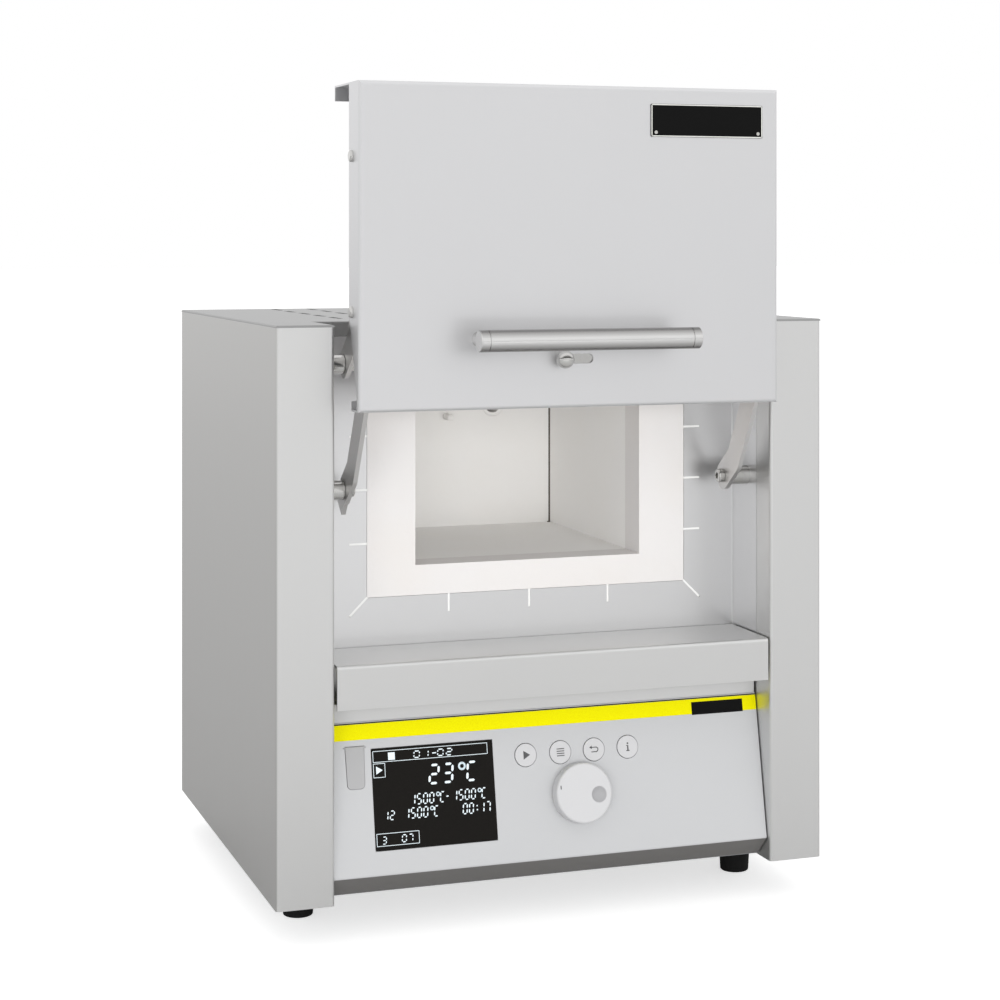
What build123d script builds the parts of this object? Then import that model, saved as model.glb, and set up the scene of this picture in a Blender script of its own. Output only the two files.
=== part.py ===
from build123d import *
import math
import os

# Bench muffle furnace with a lift door, drawn with the door raised.
# Millimetres, +Z up. X runs left to right as seen from the front, Y from front to back.
# In this file X = 0 is the middle, Y = 0 the front of the casing columns and Z = 0 the
# surface that the feet stand on. Each piece is moved on export so that the origin is the
# middle of the whole object's footprint. Heights named _H are above the casing's bottom.

# Casing
CASE_W = 385.0
CASE_D = 325.0
CASE_H = 372.5
SHEET = 1.5
FOLD_R = 1.6  # radius of a fold at the middle of the sheet
COLUMN_W = 38.5
COLUMN_RETURN = 22.0  # how far the column's inner face runs back
REAR_RETURN = 16.0
RECESS_D = 61.0
SEAM = 0.3
COVER_SKIRT = 12.0
COVER_LIP = 10.0  # front fold of the cover above the chamber mouth
EDGE_R = 1.2

# Vent slots in the cover, rows that run front to back
VENT_X = (94.5, 122.5)
VENT_FIRST_Y = 120.0
VENT_PITCH = 45.0
VENT_COUNT = 5
VENT_L = 30.0
VENT_W = 4.0

# Feet
FOOT_H = 25.5
FOOT_R = 11.5
FOOT_TAPER = 1.5
FOOT_X = 160.7
FOOT_FRONT_Y = 72.6
FOOT_REAR_Y = 275.0
SPIGOT_R = 4.0
SPIGOT_L = 5.0
HOLE_GAP = 0.2  # clearance round screws and spigots

# Sill under the chamber mouth
SILL_H = 153.5
SILL_BAR = 28.6
SILL_GAP = 1.6  # dark gap at each end of the sill
SILL_FLANGE = 12.0
FRONT_PLATE_LOW_H = 100.0

# Chamber mouth
MOUTH_W = 164.0
MOUTH_H = 104.2
MOUTH_FLOOR_H = 206.5
COLLAR_RIM = 33.9  # width of the white collar at each side of the mouth
COLLAR_RIM_Z = 20.3  # the same above and below it
COLLAR_D = 26.0
COLLAR_BOARD = 15.0  # how far the board behind the plate reaches past the collar
COLLAR_FIT = 0.3
SLIT_L = 12.0
SLIT_W = 1.5
SLIT_PITCH_X = 58.2
SLIT_PITCH_Z = 36.2

# Muffle
CHAMBER_D = 156.0
HEATING_PLATE = 25.0
MUFFLE_TILE = 20.0
REAR_WALL = 25.0
BACKUP = 25.0
CASING_GAUGE = 1.0  # sheet of the inner casing
COIL_R = 3.0
COIL_GROOVE = 8.0
COIL_RUNS = 6
COIL_MARGIN = 12.0
COIL_TAIL = 12.0
COIL_FIT = 0.2

# Thermocouple and exhaust
THERMO_X = -2.5
THERMO_H = 291.0
THERMO_R = 2.6
THERMO_TIP_R = 2.1
THERMO_IN = 12.0
THERMO_HEAD = (22.0, 20.0, 26.0)
EXHAUST_X = 35.0
EXHAUST_H = 299.0
EXHAUST_R = 8.5
EXHAUST_BORE_R = 6.0
EXHAUST_STUB = 5.0
TUBE_FIT = 0.2

# Door
DOOR_W = 291.6
DOOR_H = 210.0
DOOR_SHEET = 1.2
DOOR_FOLD_R = 2.2
DOOR_FLANGE = 24.0
DOOR_FLANGE_LOW = 5.0  # side flange is cut back to this near the bottom
CUTBACK_TOP = 67.0
CUTBACK_LOW = 9.0
TOP_FLANGE = 60.0
TOP_LIP = 10.0
BOTTOM_FLANGE = 18.0
BOTTOM_LIP = 6.4
PLUG_GAP = 0.5  # between the closed plug and the collar

# Lift linkage: two parallel arms on each side
STUD_Y = 38.0
STUD_LOW_H = 262.0
STUD_PITCH = 83.0
STUD_R = 6.5
JOURNAL_R = 4.0
JOURNAL_FIT = 0.05
OPEN_PIVOT_FIT = 0.35  # play of the upper arms on the door
STUD_HEAD = 2.0
STUD_PLATE = 3.0
STUD_PLATE_W = 22.0
STUD_PLATE_OVER = 17.0
ARM_X = 135.5  # inner face of an arm
ARM_T = 3.0
ARM_W = 19.0
ARM_FORWARD = 50.0
ARM_RISE = 71.2
ARM_BEND = (-17.0, 13.0)
TAIL_L = 16.4
TAIL_W = 13.0
TAIL_ANGLE = -52.0
SIDE_PLAY = 0.3  # play of an arm along its pin
PIVOT_DEPTH = 16.0  # door pivots behind the door's face
STUD_BOLT_R = 4.8
STUD_BOLT_HEAD = 4.0
STUD_BOLT_ROUND = 1.2
HEX_SOCKET_R = 2.4
STUD_THREAD_R = 2.5
STUD_THREAD_L = 8.0
THREAD_FIT = 0.02
PIN_SHOULDER_R = 6.0
PIN_FLANGE = 1.7

# Inside of the door
CARRIER_WALL = 2.0
CARRIER_GAP = 3.5  # from arm to the carrier's inner wall
CARRIER_DEPTH = 24.0
CARRIER_LOW = 5.0
CARRIER_TOP = 196.0
CARRIER_OUTER_LOW = 72.0
TRAY_DEPTH = 20.0
TRAY_SIDE = 12.0
TRAY_LOW = 20.0
TRAY_TOP = 190.0
PLUG_W = 236.0
PLUG_LOW = 26.0
PLUG_TOP = 168.0
PLUG_CHAMFER = 4.0
DUCT_W = 25.0
DUCT_LOW = 26.5
DUCT_TOP = 52.0
SIDE_SCREW_DEPTH = 16.0
SIDE_SCREW_HEIGHTS = (63.2, 162.6)
SIDE_SCREW_R = 2.0
SIDE_SCREW_HEAD_R = 3.8
SIDE_SCREW_HEAD = 2.2
SIDE_SCREW_L = 4.2

# Handle
HANDLE_R = 7.0
HANDLE_WALL = 1.5
HANDLE_L = 151.0
HANDLE_CAP = 6.2
HANDLE_GROOVE = 0.5
HANDLE_STANDOFF = 28.0
HANDLE_RISE = 45.5
POST_R = 5.0
POST_X = 66.0
POST_SPIGOT_R = 3.0
POST_NUT_R = 5.5
POST_NUT = 4.0
SADDLE_FIT = 0.03

# Air slider in the door
SLOT_RISE = 31.8
SLOT_L = 25.4
SLOT_W = 6.4
SLIDER_L = 57.0
SLIDER_W = 15.0
SLIDER_T = 1.0
SLIDER_FIT = 0.3
SLIDER_TRAVEL = 19.0
NECK_R = 2.9
KNOB_R = 5.9
KNOB_OFF = 1.2
GUIDE_T = 1.0
GUIDE_SIDE = 6.0

# Blank plate on the door
NAME_PLATE_W = 80.8
NAME_PLATE_H = 21.7
NAME_PLATE_T = 0.8
NAME_PLATE_X = 93.7
NAME_PLATE_RISE = 188.1

# Controller panel, its face leaning back
PANEL_W = 306.6
PANEL_TOP_H = 112.0
PANEL_TOP_Y = 23.0
PANEL_LOW_H = 15.5
PANEL_LOW_Y = 4.2
PANEL_UNDER_Y = 18.0
PANEL_BACK_Y = 58.0
PANEL_WALL = 3.0
PANEL_CORNER_R = 2.0
STRIPE_LOW = 86.6
STRIPE_T = 0.8
STRIPE_W = 10.0
STRIPE_FIT = 0.05

# Display
DISPLAY_X = -83.0
DISPLAY_V = 47.8
DISPLAY_W = 83.4
DISPLAY_H = 64.9
DISPLAY_GLASS = 1.6
DISPLAY_LEDGE = 3.0
DISPLAY_FIT = 0.25
DISPLAY_PROUD = 0.2
DISPLAY_CORNER_R = 1.2

# Circuit board behind the panel
BOARD_DEPTH = 14.0
BOARD_T = 1.6
BOARD_W = 290.0
BOARD_LOW = 9.0
BOARD_TOP = 86.0
BOSS_R = 3.5
BOSS_X = 138.0
BOSS_MARGIN = 6.0
SWITCH_SIDE = 6.0
SWITCH_H = 3.6
SWITCH_PLUNGER_R = 1.6
SWITCH_GAP = 0.05

# Push buttons
BUTTON_X = (-18.3, 6.4, 30.6, 55.1)
BUTTON_V = 68.4
BUTTON_R = 7.5
BUTTON_FIT = 0.4
BUTTON_PROUD = 0.8
BUTTON_FLANGE = 1.2
BUTTON_FLANGE_T = 1.2
BUTTON_STEM_R = 2.0
BUTTON_STEM_L = 4.0
BUTTON_TRAVEL = 0.7
BUTTON_EDGE = 0.35

# Dial
DIAL_X = 18.5
DIAL_V = 41.1
DIAL_R = 19.75
DIAL_H = 9.0
DIAL_GAP = 0.9
DIAL_TRAVEL = 0.6
DIAL_EDGE_R = 1.6
DIMPLE_R = 5.4
DIMPLE_X = 10.2
DIMPLE_V = -1.5
DIMPLE_DEPTH = 2.2
SHAFT_R = 3.0
SHAFT_FIT = 0.06
SHAFT_REACH = 6.0  # how far the shaft stands inside the dial
ENCODER_SIDE = 13.0
ENCODER_H = 6.0
BUSH_R = 4.5
BUSH_FIT = 0.25

# Socket and its flap
FLAP_X = -135.8
FLAP_V = 69.1
FLAP_W = 12.6
FLAP_W_LOW = 11.4
FLAP_H = 27.0
FLAP_T = 1.6
FLAP_PROUD = 0.4
FLAP_FIT = 0.3
FLAP_CORNER_R = 2.8
FLAP_PIN_R = 0.5
FLAP_PIN_L = 1.2
SOCKET_W = 5.6
SOCKET_H = 13.2
SOCKET_WALL = 0.5
SOCKET_DROP = 4.0  # socket's middle below the flap's middle
SOCKET_DEPTH = 9.0
USB_MOUTH = 6.0

# Rear inlet with switch
INLET_X = 120.0
INLET_H = 62.0
INLET_W = 30.0
INLET_TALL = 58.0
INLET_FLANGE = 2.0
INLET_BODY = 28.0
INLET_EDGE = 2.5  # flange past the body
INLET_MOUTH_W = 24.4
INLET_MOUTH_TALL = 16.8
INLET_MOUTH_D = 17.0
INLET_MOUTH_CHAMFER = 4.0
INLET_MOUTH_DROP = -13.0
PIN_L = 11.0
PIN_W = 2.0
PIN_T = 4.0
PIN_PITCH = 7.0
PIN_STAGGER = 2.0  # earth pin above, the others below the middle
ROCKER_RISE = 14.0
ROCKER_W = 19.4
ROCKER_R = 7.0
ROCKER_HALF = 6.3
ROCKER_FRONT = 4.2
ROCKER_BACK = 5.0
ROCKER_TIP = 9.0
ROCKER_FIT = 0.4
ROCKER_PIVOT_IN = 1.0
ROCKER_PIN_R = 1.2
ROCKER_PIN_L = 1.5
PIN_FIT = 0.06

# Fan at the rear
FAN_X = -108.0
FAN_H = 80.0
FAN_SIDE = 60.0
FAN_DEPTH = 20.0
FAN_BORE_R = 28.5
FAN_HUB_R = 12.0
FAN_BLADE_R = 27.3
FAN_BLADES = 7
FAN_BLADE_T = 1.4
FAN_BLADE_TILT = 38.0
FAN_SPIDER = 3.0
FAN_STRUT_W = 4.0
FAN_STRUTS = 3
FAN_PIN_R = 1.5
FAN_CORNER_R = 4.0
FAN_HUB_STEP = 0.5  # rotor's hub inside the edge of the motor seat
FAN_BLADE_ROOT = 2.0  # how far a blade starts inside the hub
GUARD_WIRE = 1.6
GUARD_RINGS = (8.0, 14.0, 20.0, 26.0)
GUARD_SPOKES = 4
GUARD_SPOKE_R = 33.0

# Relay on the base plate
RELAY = (45.0, 58.0, 23.0)
RELAY_X = 40.0
RELAY_Y = 250.0
RELAY_CHAMFER = 1.5
TERMINAL_R = 4.0
TERMINAL_H = 3.0
TERMINAL_INSET = 8.0

# Screws through the rear folds
SCREW_R = 2.0
SCREW_HEAD_R = 3.8
SCREW_HEAD = 2.2
SCREW_L = 8.0
SCREW_HEIGHTS = (40.0, 186.0, 332.0)
HEAD_ROUND = 0.6  # rounded share of a small screw head's height

# Places worked out from the sizes above
BASE_Z = FOOT_H
TOP_Z = BASE_Z + CASE_H
RECESS_W = CASE_W - 2 * COLUMN_W
WALL_X = CASE_W / 2 - SHEET  # inner face of a side panel
REAR_Y = CASE_D - SHEET  # outer face of the rear panel
REAR_IN_Y = REAR_Y - SHEET
PLATE_BACK_Y = RECESS_D + SHEET
COLLAR_BACK_Y = RECESS_D + COLLAR_D
CHAMBER_BACK_Y = COLLAR_BACK_Y + CHAMBER_D
MUFFLE_BACK_Y = CHAMBER_BACK_Y + REAR_WALL
BACKUP_BACK_Y = MUFFLE_BACK_Y + BACKUP
MOUTH_Z = BASE_Z + MOUTH_FLOOR_H
MOUTH_TOP_Z = MOUTH_Z + MOUTH_H
MOUTH_MID_Z = MOUTH_Z + MOUTH_H / 2
COLLAR_W = MOUTH_W + 2 * COLLAR_RIM
COLLAR_H = MOUTH_H + 2 * COLLAR_RIM_Z
PLATE_X = MOUTH_W / 2 + HEATING_PLATE  # outer face of a heating plate
MUFFLE_LOW_Z = MOUTH_Z - MUFFLE_TILE
MUFFLE_TOP_Z = MOUTH_TOP_Z + MUFFLE_TILE
STUD_LOW_Z = BASE_Z + STUD_LOW_H
ARM_LENGTH = math.hypot(ARM_FORWARD, ARM_RISE)
CLOSED_DROP = math.sqrt(ARM_LENGTH**2 - (STUD_Y - PIVOT_DEPTH) ** 2)
LIFT = ARM_RISE + CLOSED_DROP
DOOR_Y = STUD_Y - ARM_FORWARD - PIVOT_DEPTH
DOOR_Z = TOP_Z - DOOR_H + LIFT
PIVOT_Y = STUD_Y - ARM_FORWARD
PIVOT_Z = STUD_LOW_Z + ARM_RISE
ARM_OUT_X = ARM_X + ARM_T
CARRIER_X = ARM_X - CARRIER_GAP  # outer face of the carrier's inner wall
FLANGE_X = DOOR_W / 2 - DOOR_SHEET  # inner face of the door's side flange
SLIDER_X = -SLIDER_TRAVEL / 2
PANEL_TILT = math.degrees(math.atan2(PANEL_TOP_Y - PANEL_LOW_Y, PANEL_TOP_H - PANEL_LOW_H))
TILT = math.radians(PANEL_TILT)
FACE = Plane(
    origin=(0, PANEL_LOW_Y, BASE_Z + PANEL_LOW_H),
    x_dir=(1, 0, 0),
    z_dir=(0, -math.cos(TILT), math.sin(TILT)),
)
FLAP_FLOOR = FLAP_T - FLAP_PROUD + FLAP_FIT
SWITCH_TOP = -(PANEL_WALL + SEAM + BUTTON_FLANGE_T + BUTTON_STEM_L + BUTTON_TRAVEL + SWITCH_GAP)
FRONT_Y = DOOR_Y - HANDLE_STANDOFF - HANDLE_R
BACK_Y = CASE_D + EXHAUST_STUB
ORIGIN_Y = (FRONT_Y + BACK_Y) / 2


def block(x_range, y_range, z_range):
    """Box between two limits along each axis."""
    lows, highs = zip(x_range, y_range, z_range)
    sizes = [high - low for low, high in zip(lows, highs)]
    middles = [(high + low) / 2 for low, high in zip(lows, highs)]
    return Pos(*middles) * Box(*sizes)


def span(half):
    """Limits of something centred on zero."""
    return (-half, half)


def rod_x(x_range, y, z, radius):
    """Round bar along X."""
    length = x_range[1] - x_range[0]
    return Pos((x_range[0] + x_range[1]) / 2, y, z) * Rot(0, 90, 0) * Cylinder(radius, length)


def rod_y(x, y_range, z, radius):
    """Round bar along Y."""
    length = y_range[1] - y_range[0]
    return Pos(x, (y_range[0] + y_range[1]) / 2, z) * Rot(90, 0, 0) * Cylinder(radius, length)


def rod_z(x, y, z_range, radius):
    """Round bar along Z."""
    length = z_range[1] - z_range[0]
    return Pos(x, y, (z_range[0] + z_range[1]) / 2) * Cylinder(radius, length)


def mirrored(shape):
    """The same piece for the other side."""
    return mirror(shape, about=Plane.YZ)


def group(shapes):
    """Separate solids that share one node."""
    return Compound([solid for shape in shapes for solid in shape.solids()])


def folded(points, thickness=SHEET, radius=FOLD_R):
    """Section of a folded sheet whose middle line runs through the points."""
    return trace(FilletPolyline(*points, radius=radius), thickness)


def save(name, shape):
    """Write one node, with the origin under the middle of the object."""
    export_step(Pos(0, -ORIGIN_Y, 0) * shape, f"parts/{name}.step")


def on_face(x_range, v_range, lift_range):
    """Box on the leaning panel: across, up the face, and out of it."""
    return FACE * block(x_range, v_range, lift_range)


def face_rod(x, v, lift_range, radius):
    """Round bar square to the leaning panel."""
    return FACE * rod_z(x, v, lift_range, radius)


def door_block(x_range, depth_range, rise_range):
    """Box in the door: across, behind its face, and above its bottom edge."""
    y_range = [DOOR_Y + depth for depth in depth_range]
    z_range = [DOOR_Z + rise for rise in rise_range]
    return block(x_range, y_range, z_range)


def side_panel():
    """Left side with its front column and rear return, one folded sheet."""
    half = SHEET / 2
    outer = -CASE_W / 2 + half
    inner = -RECESS_W / 2 - half
    points = [
        (-CASE_W / 2 + REAR_RETURN, CASE_D - half),
        (outer, CASE_D - half),
        (outer, half),
        (inner, half),
        (inner, COLUMN_RETURN),
    ]
    section = Pos(0, 0, BASE_Z) * folded(points)
    return extrude(section, TOP_Z - SHEET - BASE_Z) - rear_screw_holes()


def rear_screw_places():
    """Where the screws go through the rear returns."""
    x = CASE_W / 2 - REAR_RETURN / 2
    return [(side * x, BASE_Z + height) for side in (-1, 1) for height in SCREW_HEIGHTS]


def rear_screw_holes():
    """Clearance holes for those screws."""
    reach = (REAR_IN_Y - SHEET, CASE_D + SHEET)
    return [rod_y(x, reach, z, SCREW_R + HOLE_GAP) for x, z in rear_screw_places()]


def casing_screws():
    """Round-headed screws that hold the rear panel."""
    screws = []
    for x, z in rear_screw_places():
        head = rod_y(x, (CASE_D, CASE_D + SCREW_HEAD), z, SCREW_HEAD_R)
        rim = head.edges().filter_by(GeomType.CIRCLE).sort_by(Axis.Y)[-1]
        shank = rod_y(x, (CASE_D - SCREW_L, CASE_D), z, SCREW_R)
        screws.append(fillet(rim, SCREW_HEAD * HEAD_ROUND) + shank)
    return group(screws)


def vent_slots():
    """Rows of slots in the cover, the same on both sides."""
    slots = []
    for x in VENT_X:
        for index in range(VENT_COUNT):
            y = VENT_FIRST_Y + index * VENT_PITCH
            for side in (-1, 1):
                slot = extrude(SlotOverall(VENT_L, VENT_W, rotation=90), 2 * SHEET, both=True)
                slots.append(Pos(side * x, y, TOP_Z) * slot)
    return slots


def top_cover():
    """Cover with a notch for the door's recess, folded down all round inside."""
    plate = block(span(CASE_W / 2), (0, CASE_D), (TOP_Z - SHEET, TOP_Z))
    plate -= block(span(RECESS_W / 2), (-SHEET, RECESS_D), (TOP_Z - 2 * SHEET, TOP_Z + SHEET))
    rims = plate.edges().group_by(Axis.Z)[-1].filter_by(lambda edge: edge.length > 2 * SHEET)
    plate = fillet(rims, EDGE_R)
    lip_x = span(RECESS_W / 2 - SEAM)
    plate += block(lip_x, (RECESS_D, PLATE_BACK_Y), (TOP_Z - COVER_LIP, TOP_Z - SHEET))
    for side in (-1, 1):
        skirt = block((WALL_X - SHEET, WALL_X), (COVER_SKIRT, REAR_IN_Y - COVER_SKIRT),
                      (TOP_Z - COVER_SKIRT, TOP_Z - SHEET))
        plate += skirt if side > 0 else mirrored(skirt)
    return plate - vent_slots()


def rear_panel():
    """Flat back, with openings for the exhaust, fan and inlet."""
    plate = block(span(WALL_X - FOLD_R), (REAR_IN_Y, REAR_Y), (BASE_Z, TOP_Z - SHEET))
    through = (REAR_IN_Y - SHEET, REAR_Y + SHEET)
    plate -= rod_y(EXHAUST_X, through, BASE_Z + EXHAUST_H, EXHAUST_R + TUBE_FIT)
    plate -= rod_y(FAN_X, through, BASE_Z + FAN_H, FAN_BORE_R)
    inlet = [size / 2 - INLET_EDGE + HOLE_GAP for size in (INLET_W, INLET_TALL)]
    plate -= inlet_box(*inlet, through)
    return plate - rear_screw_holes()


def inlet_box(half_w, half_tall, y_range):
    """Box centred on the inlet."""
    z = BASE_Z + INLET_H
    return block((INLET_X - half_w, INLET_X + half_w), y_range, (z - half_tall, z + half_tall))


def foot_places():
    """Centres of the four feet."""
    return [(side * FOOT_X, y) for side in (-1, 1) for y in (FOOT_FRONT_Y, FOOT_REAR_Y)]


def base_plate():
    """Bottom tray between the side panels, turned up at its sides."""
    plate = block(span(WALL_X), (SHEET + FOLD_R, REAR_IN_Y), (BASE_Z, BASE_Z + SHEET))
    notch_x = RECESS_W / 2 + SHEET + SEAM
    plate -= block(span(notch_x), (0, COLUMN_RETURN + SEAM), (BASE_Z - SHEET, BASE_Z + 2 * SHEET))
    edge = block((WALL_X - SHEET, WALL_X), (COVER_SKIRT, REAR_IN_Y - COVER_SKIRT),
                 (BASE_Z, BASE_Z + COVER_SKIRT))
    plate += [edge, mirrored(edge)]
    reach = (BASE_Z - SHEET, BASE_Z + 2 * SHEET)
    return plate - [rod_z(x, y, reach, SPIGOT_R + HOLE_GAP) for x, y in foot_places()]


def feet():
    """Rubber feet with a spigot each."""
    pads = []
    for x, y in foot_places():
        cone = Pos(x, y, FOOT_H / 2) * Cone(FOOT_R - FOOT_TAPER, FOOT_R, FOOT_H)
        rims = cone.edges().filter_by(GeomType.CIRCLE)
        pads.append(fillet(rims, EDGE_R) + rod_z(x, y, (FOOT_H, FOOT_H + SPIGOT_L), SPIGOT_R))
    return group(pads)


def expansion_slits():
    """Narrow cuts that run out from the collar's edge."""
    edge_x = COLLAR_W / 2 + COLLAR_FIT
    edge_z = COLLAR_H / 2 + COLLAR_FIT
    inner_x = edge_x - SLIT_W
    inner_z = edge_z - SLIT_W
    y_range = (RECESS_D - SHEET, PLATE_BACK_Y + SHEET)
    half = SLIT_W / 2
    offset = SLIT_L / 2 - SLIT_W  # corner slits start inside the hole
    cuts = []
    for side in (-1, 1):
        for step in (-1, 0, 1):
            x = step * SLIT_PITCH_X
            z = step * SLIT_PITCH_Z
            near_z = sorted((MOUTH_MID_Z + side * inner_z, MOUTH_MID_Z + side * (edge_z + SLIT_L)))
            near_x = sorted((side * inner_x, side * (edge_x + SLIT_L)))
            cuts.append(block((x - half, x + half), y_range, near_z))
            cuts.append(block(near_x, y_range, (MOUTH_MID_Z + z - half, MOUTH_MID_Z + z + half)))
        for up in (-1, 1):
            cut = Box((SLIT_L + 2 * SLIT_W) * math.sqrt(2), y_range[1] - y_range[0], SLIT_W)
            middle = Pos(side * (edge_x + offset), RECESS_D, MOUTH_MID_Z + up * (edge_z + offset))
            cuts.append(middle * Rot(0, -45 * side * up, 0) * cut)
    return cuts


def stud_heights():
    """Heights of the lower and upper stud."""
    return (STUD_LOW_Z, STUD_LOW_Z + STUD_PITCH)


def front_plate():
    """Plate round the chamber mouth, with side cheeks that meet the columns."""
    half = SHEET / 2
    cheek_x = RECESS_W / 2 + half
    points = [
        (-cheek_x, COLUMN_RETURN + SEAM),
        (-cheek_x, RECESS_D + half),
        (cheek_x, RECESS_D + half),
        (cheek_x, COLUMN_RETURN + SEAM),
    ]
    low = BASE_Z + FRONT_PLATE_LOW_H
    top = TOP_Z - COVER_LIP - SEAM
    plate = extrude(Pos(0, 0, low) * folded(points), top - low)
    hole_w = COLLAR_W / 2 + COLLAR_FIT
    hole_h = COLLAR_H / 2 + COLLAR_FIT
    y_range = (RECESS_D - SHEET, PLATE_BACK_Y + SHEET)
    plate -= block(span(hole_w), y_range, (MOUTH_MID_Z - hole_h, MOUTH_MID_Z + hole_h))
    plate -= expansion_slits()
    reach = span(cheek_x + SHEET)
    return plate - [rod_x(reach, STUD_Y, z, JOURNAL_R + HOLE_GAP) for z in stud_heights()]


def sill_cover():
    """Sill under the mouth: front bar, top and a rear fold against the plate."""
    half = SHEET / 2
    top = BASE_Z + SILL_H - half
    points = [
        (half, BASE_Z + SILL_H - SILL_BAR),
        (half, top),
        (RECESS_D - half, top),
        (RECESS_D - half, BASE_Z + SILL_H - SILL_FLANGE),
    ]
    section = Plane.YZ * folded(points)
    return extrude(section, RECESS_W / 2 - SILL_GAP, both=True)


def mouth_hole(y_range):
    """The open mouth as a box."""
    return block(span(MOUTH_W / 2), y_range, (MOUTH_Z, MOUTH_TOP_Z))


def insulation_collar():
    """White collar: a rim flush with the plate, and a wider board behind it."""
    half_w = COLLAR_W / 2
    half_h = COLLAR_H / 2
    rim = block(span(half_w), (RECESS_D, COLLAR_BACK_Y),
                (MOUTH_MID_Z - half_h, MOUTH_MID_Z + half_h))
    board_w = half_w + COLLAR_BOARD
    board_h = half_h + COLLAR_BOARD
    rim += block(span(board_w), (PLATE_BACK_Y, COLLAR_BACK_Y),
                 (MOUTH_MID_Z - board_h, MOUTH_MID_Z + board_h))
    return rim - mouth_hole((RECESS_D - SHEET, COLLAR_BACK_Y + SHEET))


def muffle_tile(low_z):
    """Floor or roof tile of the chamber."""
    return block(span(PLATE_X), (COLLAR_BACK_Y, CHAMBER_BACK_Y), (low_z, low_z + MUFFLE_TILE))


def coil_path():
    """Middle line of the right-hand heating coil."""
    x = PLATE_X - COIL_GROOVE + COIL_R
    pitch = (MOUTH_H - 2 * COIL_MARGIN) / (COIL_RUNS - 1)
    front = COLLAR_BACK_Y + COIL_MARGIN
    turn = CHAMBER_BACK_Y - COIL_MARGIN
    back = BACKUP_BACK_Y + COIL_TAIL
    points = []
    for run in range(COIL_RUNS):
        z = MOUTH_Z + COIL_MARGIN + run * pitch
        ends = [(x, turn, z), (x, front, z)]
        if run % 2:
            ends.reverse()
        points += ends
    points[0] = (x, back, points[0][2])
    points[-1] = (x, back, points[-1][2])
    return FilletPolyline(*points, radius=pitch / 2 - 0.1)


def coil(radius):
    """Round bar along the coil's path."""
    path = coil_path()
    return sweep(Plane(path @ 0, z_dir=path % 0) * Circle(radius), path)


def coil_grooves():
    """Grooves that hold the coil, open to the plate's outer face."""
    pitch = (MOUTH_H - 2 * COIL_MARGIN) / (COIL_RUNS - 1)
    half = COIL_R + COIL_FIT
    front = COLLAR_BACK_Y + COIL_MARGIN - half
    turn = CHAMBER_BACK_Y - COIL_MARGIN + half
    x_range = (PLATE_X - COIL_GROOVE - COIL_FIT, PLATE_X + 1)
    cuts = []
    for run in range(COIL_RUNS):
        z = MOUTH_Z + COIL_MARGIN + run * pitch
        outer_run = run in (0, COIL_RUNS - 1)
        back = CHAMBER_BACK_Y + 1 if outer_run else turn
        cuts.append(block(x_range, (front, back), (z - half, z + half)))
        if run + 1 < COIL_RUNS:
            reach = half + pitch / 2
            y_range = (turn - reach, turn) if run % 2 else (front, front + reach)
            cuts.append(block(x_range, y_range, (z - half, z + pitch + half)))
    return cuts


def heating_plates():
    """Two ceramic side plates, grooved for the coils."""
    plate = block((MOUTH_W / 2, PLATE_X), (COLLAR_BACK_Y, CHAMBER_BACK_Y), (MOUTH_Z, MOUTH_TOP_Z))
    plate -= coil_grooves()
    return group([plate, mirrored(plate)])


def coil_tail_holes():
    """Holes for the coils' ends through the rear wall and its backing."""
    x = PLATE_X - COIL_GROOVE + COIL_R
    holes = []
    for side in (-1, 1):
        for z in (MOUTH_Z + COIL_MARGIN, MOUTH_TOP_Z - COIL_MARGIN):
            holes.append(rod_y(side * x, (CHAMBER_BACK_Y - 1, REAR_IN_Y), z, COIL_R + COIL_FIT))
    return holes


def rear_holes():
    """Holes for thermocouple and exhaust through everything behind the chamber."""
    y_range = (CHAMBER_BACK_Y - 1, REAR_IN_Y - SHEET)
    return [
        rod_y(THERMO_X, y_range, BASE_Z + THERMO_H, THERMO_R + TUBE_FIT),
        rod_y(EXHAUST_X, y_range, BASE_Z + EXHAUST_H, EXHAUST_R + TUBE_FIT),
    ]


def muffle_rear_wall():
    """Back wall of the chamber."""
    wall = block(span(PLATE_X), (CHAMBER_BACK_Y, MUFFLE_BACK_Y), (MUFFLE_LOW_Z, MUFFLE_TOP_Z))
    return wall - rear_holes() - coil_tail_holes()


def backup_z():
    """Lower and upper limit of the backing insulation."""
    return (MUFFLE_LOW_Z - BACKUP, MUFFLE_TOP_Z + BACKUP)


def insulation_sides():
    """Backing boards at the sides."""
    board = block((PLATE_X, PLATE_X + BACKUP), (COLLAR_BACK_Y, BACKUP_BACK_Y), backup_z())
    return group([board, mirrored(board)])


def insulation_roof_floor():
    """Backing boards above and below the muffle."""
    low, high = backup_z()
    y_range = (COLLAR_BACK_Y, MUFFLE_BACK_Y)
    under = block(span(PLATE_X), y_range, (low, MUFFLE_LOW_Z))
    over = block(span(PLATE_X), y_range, (MUFFLE_TOP_Z, high))
    return group([under, over])


def insulation_rear():
    """Backing board behind the muffle."""
    board = block(span(PLATE_X), (MUFFLE_BACK_Y, BACKUP_BACK_Y), backup_z())
    return board - rear_holes() - coil_tail_holes()


def inner_casing():
    """Sheet box round the insulation, on a shelf that reaches both side panels."""
    gauge = CASING_GAUGE
    low, high = backup_z()
    half = PLATE_X + BACKUP
    y_range = (PLATE_BACK_Y, BACKUP_BACK_Y)
    box = block(span(half + gauge), (y_range[0], y_range[1] + gauge), (low - gauge, high + gauge))
    box -= block(span(half), (y_range[0] - gauge, y_range[1]), (low, high))
    box += block(span(WALL_X), (y_range[0], y_range[1] + gauge), (low - gauge, low))
    leg = block((WALL_X - gauge, WALL_X), (y_range[0], y_range[1] + gauge), (low - COVER_SKIRT, low))
    box += [leg, mirrored(leg)]
    return box - rear_holes() - coil_tail_holes()


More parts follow.
